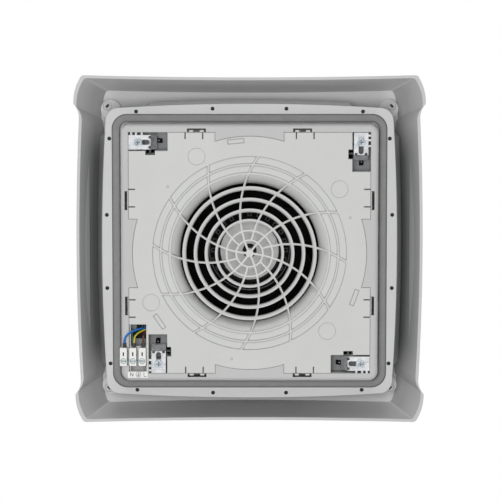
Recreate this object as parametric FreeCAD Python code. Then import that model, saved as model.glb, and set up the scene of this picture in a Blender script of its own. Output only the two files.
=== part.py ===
import FreeCAD, Part
import math
import os

# Roof-mounted exhaust fan unit for an enclosure: a moulded base frame drops through a square cut-out,
# a weather hood covers it, and a motorised impeller draws air up through the inlet panel.
# Millimetres. +Z is up, towards the hood. The origin is the centre of the roof plane, on which the
# flange seats. -Y is the front, +X the right.

V = FreeCAD.Vector
UP = V(0, 0, 1)

# --- fits and walls -------------------------------------------------------------------------------
GAP = 0.3                 # between pieces that don't touch
FIT = 0.05                # radial running fit
WALL = 3.0                # moulded walls
CUT = 1.0                 # how far a cutting solid runs past a face

# --- base frame -----------------------------------------------------------------------------------
CUTOUT_HALF = 145.5       # the square hole in the roof
TUB_LEAD = 2.0            # how much narrower than the hole the tub is at its bottom edge
TUB_TOP_HALF = CUTOUT_HALF - GAP
TUB_LOW_HALF = CUTOUT_HALF - TUB_LEAD
TUB_CORNER_R = 10.0
TUB_EDGE_R = 5.0          # rounding of the tub's bottom edge
TUB_DEPTH = 26.0          # from the roof plane down to the tub's bottom face
FLANGE_MID_HALF = 166.5   # flange half width at mid side: the sides bow outwards
FLANGE_END_HALF = 161.9
FLANGE_CORNER_R = 15.0
FLANGE_T = 3.0
GROOVE_OUT_HALF = 155.1   # outer wall of the gasket groove
GROOVE_CORNER_R = 17.0
GROOVE_DEPTH = 7.0
UPSTAND_Z = 28.0          # top of the upstand that keeps rain out of the air path
APRON_OUT_X = 7.1         # how far the upstand's aprons lean out at their top, left and right
APRON_OUT_Y = 4.3         # and at the front and rear
APRON_END = 9.0           # length of an apron's chamfered ends
APRON_BOW = 3.2           # how far its top edge bows
APRON_HALF_LENGTH_X = 138.0  # half length of the aprons on the left and right sides
APRON_HALF_LENGTH_Y = 122.0  # half length of the aprons at the front and rear
EAR_Z = 55.0              # underside of the corner ears that carry the hood
EAR_T = 3.0
EAR_AT = 160.0            # from the centre along X and along Y
PILLAR_AT = 147.5         # pillars that carry the ears
PILLAR_R = 7.0
ARM_W = 12.0              # from a pillar to its ear
WEB_W = 3.0               # from a pillar to the upstand
WEB_REACH = 0.67          # how far along the way to the flange's corner a web runs
EAR_R = 11.4
SCREW_HOLE_R = 2.2        # holes for optional roof screws
SCREW_HOLE_DEPTH = 9.0
SCREW_BOSS_R = 4.4
SCREW_BOSS_H = SCREW_HOLE_DEPTH + WALL / 2
SCREW_OUTER = (127.5, 157.8)   # outer pair of each side: along the side, from the centre
SCREW_INNER = (41.5, 161.0)    # inner pair of each side

# --- gasket ---------------------------------------------------------------------------------------
GASKET_W = 8.0
GASKET_PROUD = 1.0        # below the flange when it isn't squeezed

# --- hood -----------------------------------------------------------------------------------------
HOOD_RIM_Z = 22.0
HOOD_EAVE_Z = 60.0        # where the inner walls meet the ceiling
HOOD_TOP_Z = 86.0
HOOD_WALL = 3.2
HOOD_SIDE_HALF = 197.6    # half width at the middle of the left and right sides
HOOD_SIDE_END = 193.7     # half width where those sides end
HOOD_SIDE_REACH = 151.8   # half length of those sides
HOOD_FRONT_HALF = 196.2   # half depth at the middle of the front and rear
HOOD_FRONT_END = 198.6
HOOD_FRONT_REACH = 187.0
HOOD_LEAN_X = 22.7        # how far the left and right walls lean in, from rim to eave
HOOD_LEAN_Y = 14.0
# corners, from where the front's bow ends: run along the front, run back along the side
HOOD_ROUND = ((0.0, 0.0), (3.6, 0.9), (5.6, 3.4))
# cheeks that stand out of the side walls: share of the cheek's reach, distance past the side's end
HOOD_CHEEK = ((0.72, 29.8), (1.0, 14.4), (0.28, 7.4), (0.0, 0.0))
# height, inset along X and Y, reach of the cheeks: a leaning wall, a rounded shoulder, a low crown
HOOD_OUTSIDE = (
    (HOOD_RIM_Z, 0.0, 0.0, 6.3),
    (HOOD_EAVE_Z - 0.8, HOOD_LEAN_X - 1.8, HOOD_LEAN_Y - 1.0, 3.6),
    (HOOD_EAVE_Z + 7.2, HOOD_LEAN_X + 3.2, HOOD_LEAN_Y + 3.2, 2.8),
    (HOOD_EAVE_Z + 12.2, HOOD_LEAN_X + 11.0, HOOD_LEAN_Y + 11.0, 2.2),
    (HOOD_EAVE_Z + 16.2, HOOD_LEAN_X + 26.0, HOOD_LEAN_Y + 26.0, 1.4),
    (HOOD_TOP_Z, HOOD_LEAN_X + 92.0, HOOD_LEAN_Y + 92.0, 1.0),
)
HOOD_INSIDE = (
    (HOOD_RIM_Z, HOOD_WALL, HOOD_WALL, 6.3),
    (HOOD_EAVE_Z, HOOD_LEAN_X + HOOD_WALL, HOOD_LEAN_Y + HOOD_WALL, 3.2),
    (HOOD_EAVE_Z + 9.0, HOOD_LEAN_X + 30.0, HOOD_LEAN_Y + 30.0, 1.4),
    (HOOD_TOP_Z - HOOD_WALL, HOOD_LEAN_X + 94.0, HOOD_LEAN_Y + 94.0, 1.0),
)
HOOD_BOSS_R = 6.0
HOOD_BOSS_OVER = 8.0      # the bosses run this far past the eave, into the crown
HOOD_STEP_Z = 30.0        # step along the inside of the left and right walls
HOOD_STEP_X = 183.4
HOOD_STEP_HALF = 146.0
HOOD_STEP_H = 11.0
HOOD_STEP_W = (6.8, 0.9)  # at its foot and at its top

# --- hood locks -----------------------------------------------------------------------------------
LOCK_AT = 163.8           # from the centre along X and along Y
LOCK_HEAD_R = 4.6
LOCK_HEAD_T = 1.6
LOCK_SUNK = 0.2           # head below the ear's face
LOCK_SHANK_R = 3.2
LOCK_LENGTH = 7.6         # of the shank
LOCK_BORE_SPARE = 0.8     # bore beyond the shank's end
LOCK_SLOT = (4.6, 2.9, 1.1)
LOCK_SLOT_TURN = 45       # degrees

# --- inlet panel and finger guard -------------------------------------------------------------------
PANEL_HALF = 134.9
PANEL_T = 2.5
RELIEF_HALF = 38.5        # half length of the relieved stretch in each side
RELIEF_R = 130.7          # radius of the relieved edge about the fan's axis
GUARD_T = 4.0
GUARD_SHOULDER = 3.0      # full thickness ends this far outside the throat
RING_RADII = (14.9, 25.7, 36.9, 48.1, 60.2, 72.8)
RING_WIDTHS = (2.2, 2.2, 3.2, 4.1, 4.2, 4.5)
SPOKES = 12
SPOKE_W = 2.3
SPOKE_SWEEP = 27.0        # degrees from the inner ring to the outer edge
SPOKE_START = 52.0        # bearing of one long spoke at the inner ring
GUARD_HUB_R = 4.4
GUARD_OUT_R = 108.4
POCKET_ROWS = ((90.4, 98.0), (100.3, 108.4))
POCKET_DEPTH = 1.2
THROAT_R = 77.9
BELL_R = 87.7
BELL_WALL = 1.8
BELL_RIM = 5.0            # flat rim behind the panel, beyond the bell's edge
BELL_STEP = 0.6           # how far the panel's hole stands clear of the bell's mouth
BELL_H = 13.0             # from the panel's back to where the throat is straight
BELL_IN_MID = (2.6, 5.5)  # where the curve passes: out of the throat, above the panel's back
BELL_OUT_MID = (4.2, 6.8)
BELL_OUT_END = 1.0
BELL_TAIL = 9.0           # the throat ends this far below the shroud's face
HOOK_NEAR = 48.5          # snap hook windows: nearest and farthest point along the side
HOOK_FAR = 69.5
HOOK_WINDOW = (135.2, 139.3)
HOOK_SLIT_W = 1.1
HOOK_SLIT_L = 7.3
HOOK_SLIT_AT = (3.0, 1.6)  # from the nearest and the farthest point of the window
HOOK_ARM_H = 8.0
HOOK_ARM_T = 2.0
HOOK_ARM_START = 4.0      # from the slit to the arm
HOOK_BEAD = 1.5
HOOK_BEAD_H = (3.0, 1.0)  # below the arm's end
DIMPLE_R = 9.5
DIMPLE_DEPTH = 0.4
DIMPLES = ((-58.9, -108.1), (100.3, -71.8), (-110.1, 55.2), (86.9, 87.3))
PAD_SIZE = (19.0, 5.6)
PAD_LINE = 0.9
PAD_H = 0.5
PADS = ((-15.3, -125.0, 5), (-100.8, 76.5, -55), (117.1, 49.5, 70))

# --- spring clips -----------------------------------------------------------------------------------
CLIP_AT = 124.0           # clip screws, from the centre along X and along Y
CLIP_SHIFT = 22.0         # the rear left clip is moved aside for the terminals
CLIP_T = 1.0
CLIP_HALF_W = 8.0
CLIP_OUT = 10.6           # plate's end beyond its screw
CLIP_IN = 13.4            # plate's end on the sprung side
CLIP_SLOT_R = 2.8
CLIP_TRAVEL = 7.0
CLIP_SLOT_SPARE = 3.4     # the slot runs on past the travel
CLIP_SLOT_AT = CLIP_TRAVEL + CLIP_SLOT_SPARE
CLIP_PLAY = 0.1           # under the screw's head
CLIP_LEG_RUN = 7.2
CLIP_LEG_RISE = 14.0
CLIP_LEG_T = 1.1
CLIP_BEND = (0.4, 0.5)    # thickening of the leg's back at the tail and at the plate
CLIP_TAIL = 5.0
CLIP_NOTCH = (1.6, 1.5, 3.5)  # half length, half width, height
CLIP_NOTCH_AT = 5.6
CLIP_TOOTH = (2.2, 3.0)
CLIP_TEETH = (7.4, 2.2, -4.2)
CLIP_SCREW_R = 2.0
CLIP_SCREW_LENGTH = 14.0
CLIP_HEAD_R = 4.6
CLIP_HEAD_T = 2.3
NICHE_OUT = 11.0          # the clip's niche, about its screw
NICHE_IN = 32.6
NICHE_NEAR = 9.3
NICHE_FAR = 11.0
NICHE_Z = -3.0            # the niche's ceiling
NICHE_WALL = 2.0
TAB_FROM = 8.2
TAB_TO = 18.7
TAB_DEPTH = 4.7
SEAT_OUT = 9.6
SEAT_IN = 4.9
SEAT_HALF_W = 7.4

# --- fan ----------------------------------------------------------------------------------------------
FAN_R = 110.0
EYE_R = 81.4
SHROUD_T = 2.0
SHROUD_Z = 8.0
BLADE_Z = SHROUD_Z + SHROUD_T
BACK_Z = 36.0
BACK_T = 2.5
BLADES = 7
BLADE_IN_R = 62.0
BLADE_T = 2.4
BLADE_SWEEP = 62.0        # degrees
BLADE_TURNS = (0.42, 0.78)  # share of the sweep at the blade's middle and at its tip
BLADE_TIP = 1.0           # short of the discs' edge
HUB_FACE_Z = 22.0
HUB_R = 48.0
HUB_FACE_R = 46.0
HUB_POCKETS = 24
HUB_POCKET_R = 41.2
HUB_POCKET = 2.4
HUB_POCKET_DEPTH = 4.0
HUB_EDGE = 1.0
EYE_DROP = 11.0           # the eye reaches this far below the shroud's face
EYE_BEND = 8.0
CAN_R = 36.0
CAN_T = 2.5
CAN_Z = 15.0              # underside of the rotor can's end
CAN_TOP_Z = 45.0
CAN_EDGE = 3.0
CAP_R = 33.0
CAP_HOLE_R = 8.0
CAP_T = 1.2
CAP_RIM = (1.2, 2.4, 0.4)  # raised ring: its edges in from the cap's, its height
MAGNET_T = 3.5
MAGNET_OVER = 1.0         # beyond the core at each end
AIR_GAP = 0.6
CORE_H = 18.0
CORE_Z = 22.0
TOOTH_COUNT = 9
TOOTH_HALF = 2.2
TIP_T = 2.5
TIP_GAP_HALF = 1.2
YOKE_T = 6.0
COIL_OVER = 4.0           # beyond the core at each end
COIL_HALF = 4.4
COIL_CLEAR = 0.2          # between a coil and its tooth
COIL_IN = 0.6             # between a coil and the yoke
COIL_OUT = 3.0            # between a coil and the core's edge
COIL_WEDGE = (8.0, 60.0, 19.0)  # apex and reach of the sector a coil stays in, and its half angle
TUBE_R = 11.0
TUBE_OVER = 2.0           # the bearing tube's end, below the core
BEARING_R = 8.0
BEARING_BORE_R = 3.0
BEARING_W = 6.0
BEARING_TOP = 1.0         # from the upper bearing to the end of its bore
SHAFT_SHORT = 3.0         # from the shaft's end to the end of its bore
SHAFT_R = BEARING_BORE_R - FIT
STATOR_FLANGE_R = 38.0
STATOR_FLANGE_T = 4.0
BRACKET_Z = 52.0
BRACKET_T = 2.0
BRACKET_ARM_HALF = 12.0
BRACKET_DISC_R = 46.0
BRACKET_HOLE_R = 13.0
BRACKET_RIB = (6.0, 12.0, 1.0, 3.0)  # start inside the disc, end before the post, half width, height
POST_AT = 135.6
POST_R = 4.4
POST_HOLE_R = 2.1
POST_SCREW_R = 2.0
POST_HEAD_R = 4.2
POST_HEAD_T = 3.2
POST_SCREW_LENGTH = 16.0
MOTOR_SCREW_AT = 22.0
MOTOR_SCREW_R = 2.0
MOTOR_HEAD_R = 3.6
MOTOR_HEAD_T = 2.6
MOTOR_SCREW_SHORT = 0.5   # of the flange's inner face
HEAD_ROUND = 0.45         # rounding of screw heads, and their recess, as shares of the head
RECESS_DEPTH = 0.55
RECESS_REACH = 0.55
RECESS_HALF = 0.5

# --- terminals ------------------------------------------------------------------------------------------
BAY_X = (-133.2, -115.8)
BAY_Y = (79.9, 132.4)
BAY_SHELF_Y = 104.4
BAY_Z = -6.0              # the bay's ceiling at its deep end
BAY_STEP_Z = -19.0        # floor of the bay beyond the terminal block
BAY_WALL = 1.4
LEAD_ENTRY = (6.0, 4.6, 13.0)  # opening about the lead's end: to the front, to the rear, height
BLOCK_SEAT_Z = -24.5
BLOCK_H = 11.0
BLOCK_Y = (105.2, 125.4)
POLE_PITCH = 10.5
POLE_W = 7.8
POLE_FIRST_X = -140.9
POLE_EDGE_R = 0.8
POLE_WEB = (3.0, 6.0, 0.5)  # webs between poles: length along the pole, height, sunk in each pole
WEB_FROM_END = 4.0
ENTRY_SHIFT = 0.9         # wire entries, beside each pole's middle
ENTRY_H = 6.0             # above the block's lowest face
ENTRY_R = 2.3
CLAMP_R = 2.9
CLAMP_BORE_R = 1.6
CLAMP_ENDS = (2.0, 5.2)   # in from the block's two ends
CLAMP_FLOOR = 1.5
BORE_FLOOR = 3.0          # wall behind the clamp's bore in the block
FERRULE_R = 2.1
FERRULE_OUT = 5.0
FERRULE_IN = 1.5
PIN_LENGTH = 9.0
WIRE_R = 1.2
TERMINAL_SCREW_Y = 119.9
TERMINAL_SCREW_SINK = 0.6
TERMINAL_SCREW_R = 2.85
TERMINAL_SLOT = (4.0, 0.5, 1.2)  # half length, half width, depth
FUNNEL_R = 3.2
TEST_SLIT = (1.0, 3.8, 2.0)
TEST_SLIT_Y = 112.0
LABEL_X = (-136.6, -114.4)
LABEL_Y = (133.2, 140.0)
LABEL_T = 0.4

# --- motor lead: points chosen along its route, from the terminal bay up to the motor --------------------
LEAD_R = 3.0
LEAD_ROUTE = (
    (-113.4, 84.8, -16.5), (-106.5, 81.5, -15.0), (-101.5, 78.5, -8.5), (-99.5, 77.5, 1.5),
    (-99.0, 77.0, 14.0), (-98.5, 77.0, 27.0), (-96.5, 75.5, 39.0), (-88.0, 69.0, 46.0),
    (-74.0, 58.5, 47.6), (-58.0, 46.5, 48.2), (-44.6, 36.4, 48.6),
)
GROMMET_R = 4.0
GROMMET_L = 9.0
GROMMET_GRIP = 1.0        # how far the lead runs into it
GROMMET_SEAT = 0.1        # between it and the stator flange
# each wire's points between its ferrule and the lead's end, and its bearing round the lead's middle
WIRE_ROUTES = {
    "wire_blue": (((-138.4, 92.8, -29.2), (-134.4, 89.0, -28.7), (-128.6, 86.4, -26.8),
                   (-122.6, 84.8, -23.2)), 210),
    "wire_green_yellow": (((-128.6, 92.8, -28.8), (-125.8, 89.8, -25.6), (-121.6, 87.8, -20.2)), 90),
    "wire_brown": (((-119.0, 93.4, -27.6), (-118.2, 90.4, -22.6)), 330),
}
WIRE_SPREAD = 1.5         # of the wires about the lead's middle
WIRE_STRAIGHT = 3.4       # straight run out of a ferrule and into the lead
BEND_SHARE = 0.45         # of the shorter run, used up by a bend
ARC_MID = 0.3             # where a quarter bend's middle lies, as a share of its radius
SAME = 0.01               # edges this close to a plane lie in it

CORNERS = ((-1, -1), (1, -1), (1, 1), (-1, 1))
CORNER_NAMES = ("front_left", "front_right", "rear_right", "rear_left")


# --- helpers --------------------------------------------------------------------------------------------
def box(x0, x1, y0, y1, z0, z1):
    return Part.makeBox(x1 - x0, y1 - y0, z1 - z0, V(x0, y0, z0))


def disc(radius, z0, z1, x=0.0, y=0.0):
    return Part.makeCylinder(radius, z1 - z0, V(x, y, z0))


def ring(outer, inner, z0, z1, x=0.0, y=0.0):
    return disc(outer, z0, z1, x, y).cut(disc(inner, z0 - CUT, z1 + CUT, x, y))


def polar(radius, degrees, z=0.0):
    a = math.radians(degrees)
    return V(radius * math.cos(a), radius * math.sin(a), z)


def turned(shape, degrees):
    copy = shape.copy()
    copy.rotate(V(0, 0, 0), UP, degrees)
    return copy


def line(a, b):
    return Part.LineSegment(a, b).toShape()


def arc(a, through, b):
    return Part.Arc(a, through, b).toShape()


def prism(edges, height):
    return Part.Face(Part.Wire(edges)).extrude(V(0, 0, height))


def polygon_prism(points, direction):
    """A closed polygon of points, pushed along a direction."""
    return Part.Face(Part.makePolygon(list(points) + [points[0]])).extrude(direction)


def revolved(profile):
    """Turn a closed (radius, z) profile about the fan's axis."""
    points = [V(r, 0, z) for r, z in profile]
    return Part.Face(Part.makePolygon(points + points[:1])).revolve(V(0, 0, 0), UP, 360)


def bowed_wire(mid, end, radius, z):
    """A square outline whose sides bow from end, at the corners, out to mid."""
    edges = []
    reach = end - radius
    diagonal = reach + radius * math.sqrt(0.5)
    for quarter in range(4):
        side = [V(-reach, -end, z), V(0, -mid, z), V(reach, -end, z)]
        corner = [V(diagonal, -diagonal, z), V(end, -reach, z)]
        turn = FreeCAD.Rotation(UP, 90 * quarter)
        a, b, c, d, e = [turn.multVec(p) for p in side + corner]
        edges.append(line(a, c) if mid == end else arc(a, b, c))
        edges.append(arc(c, d, e))
    return Part.Wire(edges)


def square_wire(half, radius, z):
    return bowed_wire(half, half, radius, z)


def bowed_prism(mid, end, radius, z0, z1):
    return Part.Face(bowed_wire(mid, end, radius, z0)).extrude(V(0, 0, z1 - z0))


def rounded_prism(half, radius, z0, z1):
    return bowed_prism(half, half, radius, z0, z1)


def fuse(shapes):
    shapes = list(shapes)
    return shapes[0].multiFuse(shapes[1:]).removeSplitter() if len(shapes) > 1 else shapes[0]


def save(name, shape):
    """Write a node of one or more closed solids."""
    solids = shape.Solids
    node = solids[0] if len(solids) == 1 else Part.makeCompound(solids)
    assert node.isValid() and solids, name
    node.exportStep("parts/" + name + ".step")
    print(name, len(solids), round(sum(s.Volume for s in solids) / 1000, 2), "cm3")


# --- shared outlines ------------------------------------------------------------------------------------
def panel_outline(grow, z0, z1):
    """The inlet panel's outline: a square with each side relieved along an arc about the fan's axis."""
    half = PANEL_HALF + grow
    strip = RELIEF_HALF - grow
    square = box(-half, half, -half, half, z0, z1)
    strips = box(-strip, strip, -half - CUT, half + CUT, z0, z1)
    strips = strips.fuse(box(-half - CUT, half + CUT, -strip, strip, z0, z1))
    middle = disc(RELIEF_R + grow, z0, z1).common(strips)
    return square.cut(strips).fuse(middle).removeSplitter()


def clip_frame(index):
    """Where a clip sits: its screw, the way its plate slides out, and the side its teeth are on."""
    x = CLIP_AT * CORNERS[index][0]
    y = CLIP_AT * CORNERS[index][1]
    if CORNER_NAMES[index] == "rear_left":
        x += CLIP_SHIFT
    slide = (V(-1, 0, 0), V(0, -1, 0), V(1, 0, 0), V(0, 1, 0))[index]
    teeth = (V(0, -1, 0), V(1, 0, 0), V(0, 1, 0), V(-1, 0, 0))[index]
    return V(x, y, 0), slide, teeth


def clip_box(index, u0, u1, v0, v1, z0, z1):
    """A box in a clip's own directions: u along its slide, v towards its teeth."""
    at, slide, teeth = clip_frame(index)
    a = at + slide * u0 + teeth * v0
    b = at + slide * u1 + teeth * v1
    return box(min(a.x, b.x), max(a.x, b.x), min(a.y, b.y), max(a.y, b.y), z0, z1)


def clip_niche(index, z0, z1, grow=0.0):
    """The space a clip sits in, with the notch beside its bend."""
    room = clip_box(index, -NICHE_IN - grow, NICHE_OUT + grow, -NICHE_NEAR - grow, NICHE_FAR + grow, z0, z1)
    notch = clip_box(index, -TAB_TO, -TAB_FROM, -NICHE_NEAR - TAB_DEPTH, -NICHE_NEAR, z0, z1)
    return room.fuse(notch)


def roof_screws():
    """The centres of the sixteen roof screw holes."""
    for quarter in range(4):
        for along, out in (SCREW_OUTER, SCREW_INNER):
            for side in (-1, 1):
                yield FreeCAD.Rotation(UP, 90 * quarter).multVec(V(side * along, -out, 0))


def lock_places():
    return [V(sx * LOCK_AT, sy * LOCK_AT, 0) for sx, sy in CORNERS]


def hook_places():
    """Each snap hook, as a quarter turn and a side."""
    for quarter in range(4):
        for side in (-1, 1):
            yield quarter, side


# --- base frame -----------------------------------------------------------------------------------------
def apron(half_length, out, inset=0.0):
    """One side's apron, along the front: it leans out from the flange to the upstand's top."""
    near = FLANGE_END_HALF - WALL - inset
    tip = half_length - APRON_END
    foot_bow = FLANGE_MID_HALF - FLANGE_END_HALF
    wires = []
    for z, lean, bow in ((FLANGE_T, 0.0, foot_bow), (UPSTAND_Z, out, APRON_BOW)):
        mid = FLANGE_MID_HALF + lean - inset
        edge = FLANGE_END_HALF - inset
        inner_left = V(-half_length, -near, z)
        inner_right = V(half_length, -near, z)
        outer_right = V(half_length, -edge, z)
        bow_right = V(tip, bow - mid, z)
        bow_left = V(-tip, bow - mid, z)
        outer_left = V(-half_length, -edge, z)
        wires.append(Part.Wire([line(inner_left, inner_right), line(inner_right, outer_right),
                                line(outer_right, bow_right), arc(bow_right, V(0, -mid, z), bow_left),
                                line(bow_left, outer_left), line(outer_left, inner_left)]))
    return Part.makeLoft(wires, True, True)


def tub():
    """The tub's tapered wall, with its rounded bottom edge and its inward rim."""
    top = GROOVE_DEPTH
    outer = Part.makeLoft([square_wire(TUB_LOW_HALF, TUB_CORNER_R, -TUB_DEPTH),
                           square_wire(TUB_TOP_HALF, TUB_CORNER_R, top)], True, True)
    low = [e for e in outer.Edges if abs(e.BoundBox.ZMax + TUB_DEPTH) < SAME]
    outer = outer.makeFillet(TUB_EDGE_R, low)
    inner = Part.makeLoft([square_wire(TUB_LOW_HALF - WALL, TUB_CORNER_R - WALL, WALL - TUB_DEPTH),
                           square_wire(TUB_TOP_HALF - WALL, TUB_CORNER_R - WALL, top + CUT)], True, True)
    return outer.cut(inner).cut(panel_outline(GAP, -TUB_DEPTH - CUT, WALL - TUB_DEPTH + CUT))


def clip_housing(index):
    """The walls round a clip's niche, the seat its plate lies on, and the pilot hole of its screw."""
    low = WALL - TUB_DEPTH
    top = NICHE_Z + NICHE_WALL
    beside_bay = CORNER_NAMES[index] == "rear_left"
    far = NICHE_FAR + (BAY_WALL if beside_bay else NICHE_WALL)
    reach = TUB_LOW_HALF - WALL / 2 - CLIP_AT
    outer = clip_box(index, -NICHE_IN - NICHE_WALL, reach, -NICHE_NEAR - NICHE_WALL, far, low, top)
    notch = clip_box(index, -TAB_TO - NICHE_WALL, -TAB_FROM + NICHE_WALL,
                     -NICHE_NEAR - TAB_DEPTH - NICHE_WALL, -NICHE_NEAR, low, top)
    shell = outer.fuse(notch).cut(clip_niche(index, -TUB_DEPTH - CUT, NICHE_Z))
    if not beside_bay:
        brace = clip_box(index, -NICHE_IN - NICHE_WALL, 0, far - NICHE_WALL, reach, top - NICHE_WALL, top)
        shell = shell.fuse(brace)
    seat = clip_box(index, -SEAT_IN, SEAT_OUT, -SEAT_HALF_W, SEAT_HALF_W, -TUB_DEPTH, top)
    at = clip_frame(index)[0]
    pilot = disc(CLIP_SCREW_R + FIT, -TUB_DEPTH - CUT, GAP + CLIP_SCREW_LENGTH - TUB_DEPTH, at.x, at.y)
    return shell.fuse(seat).cut(pilot)


def terminal_bay():
    """The well behind the terminals: a shelf under the block, and a deep end where the lead comes in."""
    x0, x1 = BAY_X
    y0, y1 = BAY_Y
    before, behind, height = LEAD_ENTRY
    lead_y = LEAD_ROUTE[0][1]
    low = WALL - TUB_DEPTH
    shell = box(x0 - BAY_WALL, x1 + BAY_WALL, y0 - BAY_WALL, y1 + BAY_WALL, low, BAY_Z + BAY_WALL)
    shell = shell.cut(box(x0, x1, y0, y1, low - CUT, BAY_Z))
    shelf = box(x0 - BAY_WALL, x1 + BAY_WALL / 2, BAY_SHELF_Y, y1 + BAY_WALL, BAY_STEP_Z, BAY_STEP_Z + WALL)
    rest = box(x0 - BAY_WALL, x1 - GAP, BAY_SHELF_Y, BLOCK_Y[1] + GAP, BLOCK_SEAT_Z, BAY_STEP_Z + CUT)
    entry = box(x1 - CUT, x1 + BAY_WALL + CUT, lead_y - before, lead_y + behind, low - CUT, low + height)
    return shell.fuse(shelf).fuse(rest).cut(entry)


def base_frame():
    """The roof flange with its gasket groove and the bosses of the roof screws."""
    top = GROOVE_DEPTH + WALL
    flange = bowed_prism(FLANGE_MID_HALF, FLANGE_END_HALF, FLANGE_CORNER_R, 0, FLANGE_T)
    flange = flange.cut(rounded_prism(GROOVE_OUT_HALF, GROOVE_CORNER_R, -CUT, FLANGE_T + CUT))
    groove = rounded_prism(GROOVE_OUT_HALF + WALL, GROOVE_CORNER_R + WALL, 0, top)
    groove_room = rounded_prism(GROOVE_OUT_HALF, GROOVE_CORNER_R, -CUT, GROOVE_DEPTH)
    well = rounded_prism(TUB_TOP_HALF - WALL, TUB_CORNER_R - WALL, GROOVE_DEPTH - CUT, top + CUT)
    solids = [flange, groove.cut(groove_room).cut(well)]
    for at in roof_screws():
        solids.append(disc(SCREW_BOSS_R, 0, SCREW_BOSS_H, at.x, at.y).cut(groove_room))
    holes = [disc(SCREW_HOLE_R, -CUT, SCREW_HOLE_DEPTH, p.x, p.y) for p in roof_screws()]
    return fuse(solids).cut(Part.makeCompound(holes))


def across(near, far, width, z0, z1, sx, sy):
    """A bar along a corner's diagonal, between two places given by their distance along X and along Y."""
    bar = box(math.hypot(near, near), math.hypot(far, far), -width / 2, width / 2, z0, z1)
    return turned(bar, math.degrees(math.atan2(sy, sx)))


def rain_upstand(frame):
    """The wall that stands on the flange, with an apron on each side and the hood's ears on its corners."""
    wall = bowed_prism(FLANGE_MID_HALF, FLANGE_END_HALF, FLANGE_CORNER_R, FLANGE_T, UPSTAND_Z)
    wall = wall.cut(bowed_prism(FLANGE_MID_HALF - WALL, FLANGE_END_HALF - WALL, FLANGE_CORNER_R - WALL,
                                FLANGE_T - CUT, UPSTAND_Z + CUT))
    aprons = []
    rooms = []
    for quarter in range(4):
        half_length = APRON_HALF_LENGTH_X if quarter % 2 else APRON_HALF_LENGTH_Y
        out = APRON_OUT_X if quarter % 2 else APRON_OUT_Y
        aprons.append(turned(apron(half_length, out), 90 * quarter))
        rooms.append(turned(apron(half_length - WALL, out, WALL), 90 * quarter))
    upstand = fuse([wall] + aprons).cut(Part.makeCompound(rooms))
    foot = GROOVE_DEPTH + WALL
    top = EAR_Z + EAR_T
    web_end = PILLAR_AT + (FLANGE_END_HALF - PILLAR_AT) * WEB_REACH
    solids = [upstand]
    for sx, sy in CORNERS:
        solids.append(disc(PILLAR_R, foot, top, sx * PILLAR_AT, sy * PILLAR_AT))
        solids.append(disc(EAR_R, EAR_Z, top, sx * EAR_AT, sy * EAR_AT))
        solids.append(across(PILLAR_AT, EAR_AT, ARM_W, EAR_Z, top, sx, sy))
        solids.append(across(PILLAR_AT, web_end, WEB_W, foot, UPSTAND_Z, sx, sy))
    holes = [frame]
    for p in lock_places():
        holes.append(disc(LOCK_HEAD_R + GAP, EAR_Z - CUT, EAR_Z + LOCK_SUNK + LOCK_HEAD_T + GAP, p.x, p.y))
        holes.append(disc(LOCK_SHANK_R + FIT, EAR_Z - CUT, top + CUT, p.x, p.y))
    upstand = fuse(solids).cut(Part.makeCompound(holes))
    return max(upstand.Solids, key=lambda solid: solid.Volume)  # without the skins of the aprons' cut


def base_tub():
    """The tub below the flange, open at the panel's hooks, the clips and the terminals."""
    holes = []
    for quarter, side in hook_places():
        near, far = sorted((side * HOOK_NEAR, side * HOOK_FAR))
        window = box(near, far, -HOOK_WINDOW[1], -HOOK_WINDOW[0] + CUT,
                     -TUB_DEPTH - CUT, WALL - TUB_DEPTH + CUT)
        holes.append(turned(window, 90 * quarter))
    for index in range(4):
        holes.append(clip_niche(index, -TUB_DEPTH - CUT, WALL - TUB_DEPTH - SAME))
    holes.append(box(POLE_FIRST_X - POLE_W / 2 - CUT, BAY_X[1], BLOCK_Y[0] - GAP, BLOCK_Y[1] + GAP,
                     -TUB_DEPTH - CUT, BLOCK_SEAT_Z))
    return tub().cut(Part.makeCompound(holes))


def clip_housings(tub_shell):
    return Part.makeCompound([clip_housing(i).cut(tub_shell) for i in range(4)])


def terminal_well(tub_shell, housings):
    return terminal_bay().cut(tub_shell).cut(housings)


def roof_gasket():
    """Foam cast round the groove, against its outer wall, proud of the flange."""
    outer = GROOVE_OUT_HALF
    inner = outer - GASKET_W
    inner_r = GROOVE_CORNER_R - GASKET_W
    foam = rounded_prism(outer, GROOVE_CORNER_R, -GASKET_PROUD, GROOVE_DEPTH)
    return foam.cut(rounded_prism(inner, inner_r, -GASKET_PROUD - CUT, GROOVE_DEPTH + CUT))


# --- hood -----------------------------------------------------------------------------------------------
def hood_wire(z, inset_x, inset_y, cheek):
    """The hood's outline at a height. The corners carry cheeks that stand out of the side walls."""
    side_mid = HOOD_SIDE_HALF - inset_x
    side_end = HOOD_SIDE_END - inset_x
    front_mid = HOOD_FRONT_HALF - inset_y
    front_end = HOOD_FRONT_END - inset_y
    reach = HOOD_FRONT_REACH - inset_x
    side_reach = HOOD_SIDE_REACH - inset_y
    edges = []
    last = None
    first = None
    for quarter, (sx, sy) in enumerate(CORNERS):
        corner = [(reach + along, front_end - back) for along, back in HOOD_ROUND]
        corner += [(side_end + share * cheek, side_reach + past) for share, past in HOOD_CHEEK]
        points = [V(sx * x, sy * y, z) for x, y in corner]
        if quarter % 2 == 0:
            points.reverse()
        if last is not None:
            middle = V(0, sy * front_mid, z) if quarter % 2 else V(sx * side_mid, 0, z)
            edges.append(arc(last, middle, points[0]))
        else:
            first = points[0]
        for i in (0, 2, 4):
            edges.append(arc(points[i], points[i + 1], points[i + 2]))
        last = points[-1]
    edges.append(arc(last, V(-side_mid, 0, z), first))
    return Part.Wire(edges)


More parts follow.
